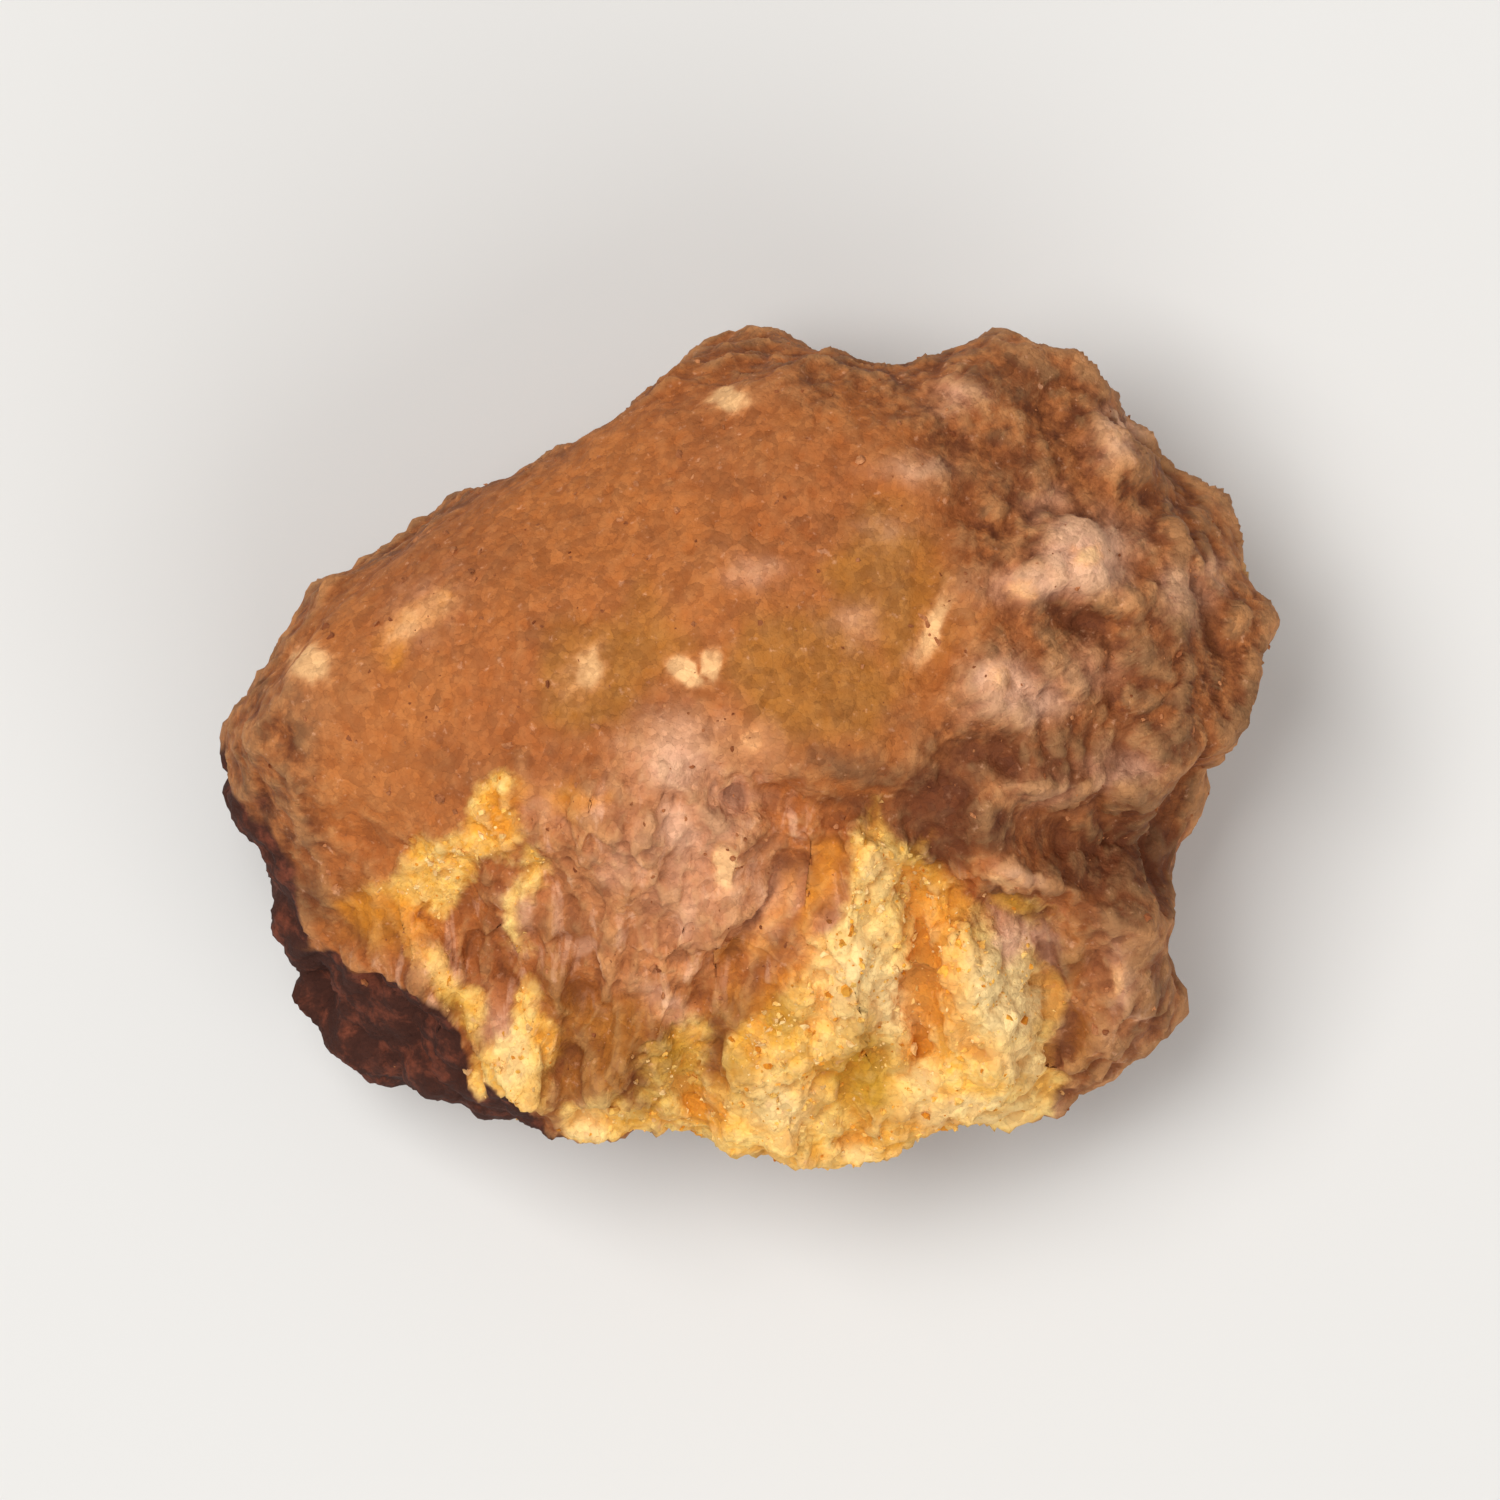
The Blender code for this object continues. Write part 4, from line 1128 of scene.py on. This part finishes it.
def grain_group():
    """The grain of dry fungus: its granules' tone, a height for bumps, and pores, from its fineness."""
    tree = bpy.data.node_groups.new("chaga_grain", "ShaderNodeTree")
    tree.interface.new_socket("Vector", in_out="INPUT", socket_type="NodeSocketVector")
    tree.interface.new_socket("Fineness", in_out="INPUT", socket_type="NodeSocketFloat")
    for name in ("Tone", "Height", "Pores"):
        tree.interface.new_socket(name, in_out="OUTPUT", socket_type="NodeSocketFloat")
    given = add_node(tree, "NodeGroupInput").outputs
    result = add_node(tree, "NodeGroupOutput").inputs
    fineness = given["Fineness"]
    ripple = add_node(tree, "ShaderNodeTexNoise", {"Vector": given["Vector"], "Scale": fineness, **RIPPLE})
    strayed = vector_maths(tree, "SUBTRACT", ripple.outputs["Color"], (0.5, 0.5, 0.5))
    inputs = {0: strayed, "Scale": maths(tree, "DIVIDE", GRANULE_STRAY, fineness)}
    strayed = add_node(tree, "ShaderNodeVectorMath", inputs, operation="SCALE").outputs["Vector"]
    where = vector_maths(tree, "ADD", given["Vector"], strayed)
    coarse_tone, coarse = granules(tree, where, times(tree, fineness, COARSE_FINENESS))
    fine_tone, fine = granules(tree, where, times(tree, fineness, FINE_FINENESS))
    tone = maths(tree, "MULTIPLY_ADD", fine_tone, 1 - COARSE_TONE, times(tree, coarse_tone, COARSE_TONE))
    height = maths(tree, "MULTIPLY_ADD", fine, FINE_HEIGHT, coarse)
    height = maths(tree, "MULTIPLY_ADD", ripple.outputs["Fac"], RIPPLE_HEIGHT, height)
    inputs = {"Vector": given["Vector"], "Scale": times(tree, fineness, PORE_FINENESS), "Detail": PORE_DETAIL}
    pores = add_node(tree, "ShaderNodeTexNoise", inputs).outputs["Fac"]
    feed(tree, result["Tone"], stepped(tree, tone, *TONE_LEVELS))
    feed(tree, result["Height"], height)
    feed(tree, result["Pores"], stepped(tree, pores, *PORE_LEVELS))
    return tree


def new_material(name):
    """A material with its tree, its shader and its object coordinates."""
    material = bpy.data.materials.new(name)
    material.use_nodes = True
    tree = material.node_tree
    where = add_node(tree, "ShaderNodeTexCoord").outputs["Object"]
    return material, tree, tree.nodes["Principled BSDF"], where


def grain_of(tree, group, where, size):
    """The grain group placed in a material, for grains of that size in metres."""
    made = add_node(tree, "ShaderNodeGroup", node_tree=group)
    feed(tree, made.inputs["Vector"], where)
    feed(tree, made.inputs["Fineness"], 1 / size)
    return made.outputs


def bumped(tree, shader, height, distance):
    """Gives the shader a bump of that height in metres."""
    bump = add_node(tree, "ShaderNodeBump", {"Strength": 1.0, "Distance": distance, "Height": height})
    feed(tree, shader.inputs["Normal"], bump.outputs["Normal"])


def layered(tree, colour, layers):
    """A colour with layers laid over it in turn: the colour of each, where it shows, and how much at most."""
    for above, share, most in layers:
        colour = mixed(tree, times(tree, share, most), colour, above)
    return colour


def tinted(tree, colour, tint):
    """A colour times a tint."""
    return mixed(tree, 1.0, colour, tint, "MULTIPLY")


def cork_colour(tree, settings, share, edge, level):
    """The cork's colour: rust with olive and purplish mottle, the purplish partly painted shade on the sides
    and rims, pink, the streaks of its break, and spots that are partly painted shade and highlights.
    """
    colour = mixed(tree, level["light rust"], settings.rust_deep, settings.rust_light)
    mottle = mixed(tree, level["mottle"], settings.purple_dark_and_shade, settings.purple_light)
    mottle = layered(tree, mottle, (
        (settings.rust_deep, level["mottle rust"], 0.5),
        # Pink on bulges: partly painted highlight.
        (settings.pink, level["bulges"], 0.4),
    ))
    brown = times(tree, share["broken"], level["brown streaks"])
    peach = times(tree, share["broken"], level["peach streaks"])
    peach = times(tree, peach, maths(tree, "SUBTRACT", 1.0, share["olive"]))
    return layered(tree, colour, (
        (settings.rust_dark, level["dark rust"], 0.5),
        (settings.olive, edge["olive"], 0.7),
        (mottle, edge["purple"], 0.9),
        (settings.pink, edge["pink"], 0.5),
        (settings.rust_dark, brown, 0.6),
        (settings.pink_pale_and_highlight, peach, 0.45),
        # Dark spots on the cork: dark purple mottle and painted shade.
        (settings.purple_dark_and_shade, edge["dark"], 0.9),
        # Pale spots on the cork: partly pale pinkish patches, partly painted highlights on lumps.
        (settings.pink_pale_and_highlight, edge["pale"], 0.85),
        (settings.amber, edge["orange"], 0.7),
    ))


def golden_colour(tree, settings, share, level):
    """The golden break's colour: gold grains, orange between them, cream bodies with painted highlights on
    ridges, and ochre streaks and ochre facets that are painted shade.
    """
    golden = mixed(tree, level["pale gold"], settings.gold, settings.gold_pale)
    return layered(tree, golden, (
        (settings.amber, maths(tree, "ADD", level["amber"], share["orange"]), 0.8),
        (settings.ochre, level["ochre streaks"], 0.3),
        # Cream on ridges and pale spots: the break's cream bodies and painted highlight.
        (settings.cream, maths(tree, "MAXIMUM", times(tree, level["ridges"], 0.25), share["pale"]), 0.9),
        # Dark spots on the golden break turn ochre: painted shade on its shaded facets and grooves.
        (settings.ochre, share["dark"], 0.9),
    ))


def flesh_material(settings, group):
    """The flesh: rust-brown cork and golden break, with painted highlight on ridges and painted shade in
    hollows and pores, and charred outside, the crust partly painted shade.
    """
    material, tree, shader, where = new_material("chaga_flesh")
    # The pale attribute holds pale spots and painted highlights, the dark one dark spots and painted shade.
    names = (*ZONES, "broken", "fleck", "pale", "dark", *HOLLOW_LEVELS)
    share = {name: attribute(tree, name) for name in names}
    pattern = {name: noise(tree, where, *values) for name, values in PATTERNS.items()}
    pattern["streaky"] = noise(tree, vector_maths(tree, "MULTIPLY", where, STREAK_STRETCH), *STREAKS)
    edge = {
        name: ragged_share(tree, share[name], pattern[by], amount, softness)
        for name, (by, amount, softness) in RAGGED_EDGES.items()
    }
    given = {**share, **pattern}
    level = {name: stepped(tree, given[by], low, high) for name, (by, low, high) in LEVELS.items()}
    grain = grain_of(tree, group, where, FLESH_GRAIN)
    gold = edge["gold"]

    cork = cork_colour(tree, settings, share, edge, level)
    colour = mixed(tree, gold, cork, golden_colour(tree, settings, share, level))
    colour = layered(tree, colour, (
        # Cream on ridges: painted highlight.
        (settings.cream, level["ridges"], 0.12),
        (settings.pink_pale_and_highlight, level["dust"], 0.25),
    ))
    # Painted shade: the shadow colour in hollows, in cavities and on the darkest spots.
    sunk = times(tree, level["hollows"], HOLLOW_SHADOW)
    deep = times(tree, level["cavities"], CAVITY_SHADOW)
    on_cork = maths(tree, "SUBTRACT", CAVITY_SHADOW, times(tree, gold, CAVITY_SHADOW))
    deep = maths(tree, "MAXIMUM", deep, times(tree, level["darkest"], on_cork))
    shadow = mixed(tree, gold, settings.shade_in_hollows, settings.gold_shade_in_hollows)
    colour = mixed(tree, maths(tree, "MAXIMUM", sunk, deep), colour, shadow)

    fleck = mixed(tree, level["cream flecks"], settings.fleck_pink, settings.fleck)
    char = mixed(tree, level["char"], settings.crust_black, settings.crust_brown)
    colour = layered(tree, colour, ((fleck, edge["fleck"], 0.9), (char, edge["crust"], 1.0)))
    dark, light = tinted(tree, colour, DARK_GRANULE), tinted(tree, colour, LIGHT_GRANULE)
    colour = mixed(tree, GRANULES_SHOW, colour, mixed(tree, grain["Tone"], dark, light))
    # Painted shade in the pores.
    colour = mixed(tree, times(tree, grain["Pores"], PORES_SHOW), colour, shadow)
    feed(tree, shader.inputs["Base Color"], colour)

    rough = maths(tree, "MULTIPLY_ADD", grain["Tone"], TONE_ROUGHER, FLESH_ROUGHNESS)
    rough = maths(tree, "MULTIPLY_ADD", share["purple"], PURPLE_ROUGHER, rough)
    rough = maths(tree, "MULTIPLY_ADD", share["crust"], CRUST_ROUGHER, rough)
    feed(tree, shader.inputs["Roughness"], rough)
    shader.inputs["Specular IOR Level"].default_value = FLESH_SPECULAR
    height = maths(tree, "MULTIPLY_ADD", pattern["fine"], FINE_BUMP, grain["Height"])
    bumped(tree, shader, height, settings.bump_height)
    return material


def crumb_material(settings, group):
    """Loose crumbs: the colour of the break that they fell from, each a little lighter or darker."""
    material, tree, shader, where = new_material("chaga_crumbs")
    tone, gold = attribute(tree, "tone"), attribute(tree, "gold")
    grain = grain_of(tree, group, where, LOOSE_GRAIN)
    rusty = mixed(tree, tone, settings.rust_dark, settings.pink)
    golden = settings.amber
    for name, levels in LOOSE_GOLDS.items():
        golden = mixed(tree, stepped(tree, tone, *levels), golden, getattr(settings, name))
    colour = mixed(tree, gold, rusty, golden)
    colour = mixed(tree, grain["Tone"], tinted(tree, colour, LOOSE_DARK_GRANULE), colour)
    feed(tree, shader.inputs["Base Color"], colour)
    rough = maths(tree, "MULTIPLY_ADD", grain["Tone"], LOOSE_ROUGHER, LOOSE_ROUGHNESS)
    feed(tree, shader.inputs["Roughness"], rough)
    shader.inputs["Specular IOR Level"].default_value = LOOSE_SPECULAR
    bumped(tree, shader, grain["Height"], LOOSE_BUMP)
    return material


def floor_material(settings):
    """A plain pale floor, with a faint unevenness of tone."""
    material, tree, shader, where = new_material("pale_floor")
    faint = noise(tree, where, FLOOR_PATCH, 2.0)
    shade = tuple(FLOOR_SHADE * channel for channel in settings.floor_colour[:3]) + (1.0,)
    feed(tree, shader.inputs["Base Color"], mixed(tree, faint, shade, settings.floor_colour))
    shader.inputs["Roughness"].default_value = FLOOR_ROUGHNESS
    return material


def shared_grain():
    """The grain group, made once."""
    return bpy.data.node_groups.get("chaga_grain") or grain_group()


def turned(draw, count):
    """Random turns, one for each crumb: the rotation matrices of random unit quaternions."""
    w, x, y, z = (part[:, 0] for part in np.split(unit(draw.normal(size=(count, 4))), 4, axis=1))
    rows = (
        (1 - 2 * (y * y + z * z), 2 * (x * y - z * w), 2 * (x * z + y * w)),
        (2 * (x * y + z * w), 1 - 2 * (x * x + z * z), 2 * (y * z - x * w)),
        (2 * (x * z - y * w), 2 * (y * z + x * w), 1 - 2 * (x * x + y * y)),
    )
    return np.stack([np.stack(row, axis=-1) for row in rows], axis=-2)


def unit(vector):
    """Vectors of length one."""
    return vector / np.linalg.norm(vector, axis=-1, keepdims=True)


def crumb_heap(draw, place, normal, size):
    """Crumbs as arrays: each is a small ball grid, squashed and dented its own way, and a little sunk."""
    direction, faces = ball_grid(LOOSE_SQUARES, 1.0)
    count = len(place)
    squash = draw.uniform(*LOOSE_SQUASH, (count, 1, 3))
    dent = draw.uniform(*LOOSE_DENT, (count, len(direction), 1))
    shape = direction[None] * squash * dent * size[:, None, None]
    shape = np.einsum("nij,nvj->nvi", turned(draw, count), shape)
    centre = place + normal * (size * draw.uniform(*LOOSE_SEAT, count))[:, None]
    point = shape + centre[:, None, :]
    point[..., 2] = np.maximum(point[..., 2], 0.0)
    all_faces = faces[None] + (np.arange(count) * len(direction))[:, None, None]
    return point.reshape(-1, 3), all_faces.reshape(-1, 4), len(direction)


def held(layer, name, width=1):
    """The numbers that a mesh layer holds under that name, as an array with a row for each element."""
    values = np.zeros(len(layer) * width)
    layer.foreach_get(name, values)
    return values.reshape(-1, width) if width > 1 else values


def strewn_crumbs(ground, settings):
    """Loose crumbs on that mesh, thickest on the golden break, with each one's tone and gold."""
    place, normal = held(ground.vertices, "co", 3) / MM, held(ground.vertices, "normal", 3)
    zones = ground.attributes
    gold, hollow, crust = (held(zones[name].data, "value") for name in ("gold", "hollow", "crust"))
    likely = LOOSE_ANYWHERE + LOOSE_ON_GOLD * gold**2 + LOOSE_IN_HOLLOWS * np.clip(hollow, 0, 1)
    likely *= (1 - LOOSE_OFF_CRUST * crust) * (place[:, 2] > LOOSE_LOWEST_MM)
    draw = np.random.default_rng(LOOSE_SEED)
    chosen = draw.choice(len(place), settings.crumbs, replace=False, p=likely / likely.sum())
    small, large = settings.crumb_smallest / MM, settings.crumb_largest / MM
    size = small * (large / small) ** (draw.uniform(0, 1, settings.crumbs) ** LOOSE_SMALLNESS)
    point, faces, corners = crumb_heap(draw, place[chosen], normal[chosen], size)
    tone = np.repeat(draw.uniform(0, 1, settings.crumbs), corners)
    return point, faces, {"tone": tone, "gold": np.repeat(eased(gold[chosen] * LOOSE_GOLDEN), corners)}


def length_setting(name, description, default):
    """A length in metres among the settings."""
    return FloatProperty(name=name, description=description, default=default, unit="LENGTH", precision=6)


def colour_setting(name, description, *channels):
    """A colour among the settings, from its red, green and blue."""
    return FloatVectorProperty(
        name=name, description=description, subtype="COLOR", size=4, default=(*channels, 1.0)
    )


class ChagaSettings(bpy.types.PropertyGroup):
    """Sizes and colours of the chunk and its stage."""

    grid_squares: IntProperty(
        name="Grid squares", description="Squares along each side of the skin's grid, an even number",
        default=314,
    )
    grain_height: length_setting("Grain height", "Height of the cork's grain", 0.000018)
    granule_height: length_setting("Granule height", "Height of the cork's granules", 0.000012)
    crumb_height: length_setting("Packed crumbs", "Height of the golden break's packed crumbs", 0.000085)
    pore_depth: length_setting("Pore depth", "Depth of the pores", 0.000020)
    crust_height: FloatProperty(
        name="Crust height", description="How much the crust is cracked, where 1 is as it should be",
        default=1.0,
    )
    bump_height: length_setting("Bump height", "Height of the finest grain", 0.000024)
    crumbs: IntProperty(name="Crumbs", description="How many loose crumbs cling to the breaks", default=2400)
    crumb_smallest: length_setting("Smallest crumb", "Radius of the smallest crumbs", 0.000016)
    crumb_largest: length_setting("Largest crumb", "Radius of the largest crumbs", 0.000070)
    rust_light: colour_setting("Light rust", "Light patches of the cork", 0.485, 0.148, 0.032)
    rust_deep: colour_setting("Deep rust", "The cork's main colour", 0.400, 0.114, 0.027)
    rust_dark: colour_setting("Dark rust", "Dark patches of the cork", 0.270, 0.076, 0.022)
    olive: colour_setting("Olive brown", "Yellowish-brown patches", 0.375, 0.140, 0.017)
    # Dark purple brown is the knobbly end's dark mottle, and also the painted shade of the cork's dark spots.
    purple_dark_and_shade: colour_setting("Dark purple brown", "The knobbly end's dark colour", 0.150, 0.042, 0.014)
    purple_light: colour_setting("Light purple brown", "The knobbly end's light colour", 0.415, 0.138, 0.038)
    pink: colour_setting("Pinkish brown", "Pinkish patches", 0.620, 0.260, 0.105)
    # Pale pink is also the colour of the painted highlights on the cork's lumps.
    pink_pale_and_highlight: colour_setting("Pale pink", "Pale pinkish spots", 0.900, 0.510, 0.330)
    gold: colour_setting("Gold", "The golden break's main colour", 1.000, 0.500, 0.066)
    gold_pale: colour_setting("Pale gold", "The golden break's pale grains", 1.000, 0.650, 0.180)
    amber: colour_setting("Amber", "The golden break's orange hollows", 0.800, 0.290, 0.020)
    # Cream is also the painted highlight on the golden break's ridges and on its facets that turn from the
    # light.
    cream: colour_setting("Cream", "The golden break's cream bodies and painted highlights on ridges", 1.000, 0.710, 0.320)
    # Ochre is the golden break's streaks, and the painted shade on its facets turned from the light.
    ochre: colour_setting("Ochre", "The golden break's streaks and painted shade on its facets", 0.540, 0.270, 0.024)
    # The golden crevice colour is painted shade in the golden break's hollows.
    gold_shade_in_hollows: colour_setting("Golden crevice", "Hollows of the golden break", 0.620, 0.220, 0.018)
    fleck: colour_setting("Cream fleck", "Flecks in the cork", 1.000, 0.590, 0.270)
    fleck_pink: colour_setting("Pink fleck", "Pinkish grains of the flecks", 0.800, 0.340, 0.125)
    # The crevice colour is painted shade in hollows and pores.
    shade_in_hollows: colour_setting("Crevice", "The colour in hollows and pores", 0.150, 0.040, 0.013)
    crust_black: colour_setting("Crust black", "The charred crust's dark colour", 0.060, 0.019, 0.012)
    crust_brown: colour_setting("Crust brown", "The charred crust's worn colour", 0.190, 0.050, 0.026)
    floor_colour: colour_setting("Floor", "The floor's colour", 0.72, 0.71, 0.69)
    view_width: length_setting("View width", "How wide a view the camera takes in", 0.0142)
    view_distance: length_setting("View distance", "How far the camera is from the chunk", 0.45)
    key_light: FloatProperty(name="Key light", description="Strength of the main light", default=1.0)
    fill_light: FloatProperty(name="Fill light", description="Strength of the light all round", default=1.0)


class CHAGA_OT_skin(bpy.types.Operator):
    """Make the chunk's fine skin in place of its plain solid"""

    bl_idname = "chaga.skin"
    bl_label = "Chaga skin"

    def execute(self, context):
        settings = context.scene.chaga
        point, faces, zones = fine_skin(settings)
        piece = mesh_object("chaga_skin", point, faces, zones)
        dressed(piece, flesh_material(settings, shared_grain()))
        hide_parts(NODE)
        return {"FINISHED"}


class CHAGA_OT_crumbs(bpy.types.Operator):
    """Strew loose crumbs over the breaks, thickest on the golden one"""

    bl_idname = "chaga.crumbs"
    bl_label = "Chaga crumbs"

    def execute(self, context):
        settings = context.scene.chaga
        ground = context.scene.objects["chaga_skin"].data
        point, faces, values = strewn_crumbs(ground, settings)
        piece = mesh_object("chaga_crumbs", point, faces, values, smooth=False)
        dressed(piece, crumb_material(settings, shared_grain()))
        return {"FINISHED"}


def soft_light(name, toward, width, share):
    """A square light that adds that share of full white to a level white floor under it."""
    data = bpy.data.lights.new(name, "AREA")
    data.shape = "SQUARE"
    data.size = width
    direction = Vector(toward).normalized()
    data.energy = share * np.pi**2 * LIGHT_DISTANCE**2 / direction.z
    lamp = placed(name, data)
    lamp.location = direction * LIGHT_DISTANCE
    lamp.rotation_euler = direction.to_track_quat("Z", "Y").to_euler()


class CHAGA_OT_studio(bpy.types.Operator):
    """Set up the pale floor, the soft lights and the camera"""

    bl_idname = "chaga.studio"
    bl_label = "Chaga studio"

    def execute(self, context):
        settings = context.scene.chaga
        scene = context.scene
        data = bpy.data.meshes.new("studio_floor")
        corners = [(-FLOOR_HALF, -FLOOR_HALF, 0), (FLOOR_HALF, -FLOOR_HALF, 0)]
        corners += [(FLOOR_HALF, FLOOR_HALF, 0), (-FLOOR_HALF, FLOOR_HALF, 0)]
        data.from_pydata(corners, [], [(0, 1, 2, 3)])
        floor = placed("studio_floor", data)
        data.materials.append(floor_material(settings))
        soft_light("key_light", KEY_FROM, KEY_WIDTH, KEY_SHARE * settings.key_light)
        soft_light("fill_light", FILL_FROM, FILL_WIDTH, FILL_SHARE * settings.fill_light)
        world = bpy.data.worlds.new("studio_sky")
        world.use_nodes = True
        sky = world.node_tree.nodes["Background"]
        sky.inputs["Color"].default_value = SKY_COLOUR
        sky.inputs["Strength"].default_value = SKY_SHARE * settings.fill_light
        scene.world = world
        scene.view_settings.view_transform = "Standard"
        camera = bpy.data.cameras.new("studio_camera")
        camera.angle = 2 * np.arctan(settings.view_width / 2 / settings.view_distance)
        camera.clip_start = settings.view_distance / 10
        camera.clip_end = CAMERA_END
        holder = placed("studio_camera", camera)
        low, high = (Vector(corner) for corner in CAD_BOX)
        toward = Vector(CAMERA_FROM).normalized()
        holder.location = (low + high) / 2 + toward * settings.view_distance
        holder.rotation_euler = Vector((0, 0, 1)).rotation_difference(toward).to_euler()
        scene.camera = holder
        return {"FINISHED"}


class CHAGA_PT_panel(bpy.types.Panel):
    """Lists the chunk's settings and the buttons that build it"""

    bl_idname = "CHAGA_PT_panel"
    bl_label = "Chaga chunk"
    bl_space_type = "VIEW_3D"
    bl_region_type = "UI"
    bl_category = "Chaga"

    def draw(self, context):
        settings = context.scene.chaga
        column = self.layout.column()
        for step in STEPS:
            column.operator(step.bl_idname)
        for name in ChagaSettings.__annotations__:
            column.prop(settings, name)


STEPS = (CHAGA_OT_skin, CHAGA_OT_crumbs, CHAGA_OT_studio)
CLASSES = (ChagaSettings, *STEPS, CHAGA_PT_panel)


def register():
    for made in CLASSES:
        bpy.utils.register_class(made)
    bpy.types.Scene.chaga = PointerProperty(type=ChagaSettings)


def unregister():
    del bpy.types.Scene.chaga
    for made in reversed(CLASSES):
        bpy.utils.unregister_class(made)


def main():
    register()
    bpy.ops.chaga.skin()
    bpy.ops.chaga.crumbs()
    bpy.ops.chaga.studio()


if __name__ == "__main__":
    main()
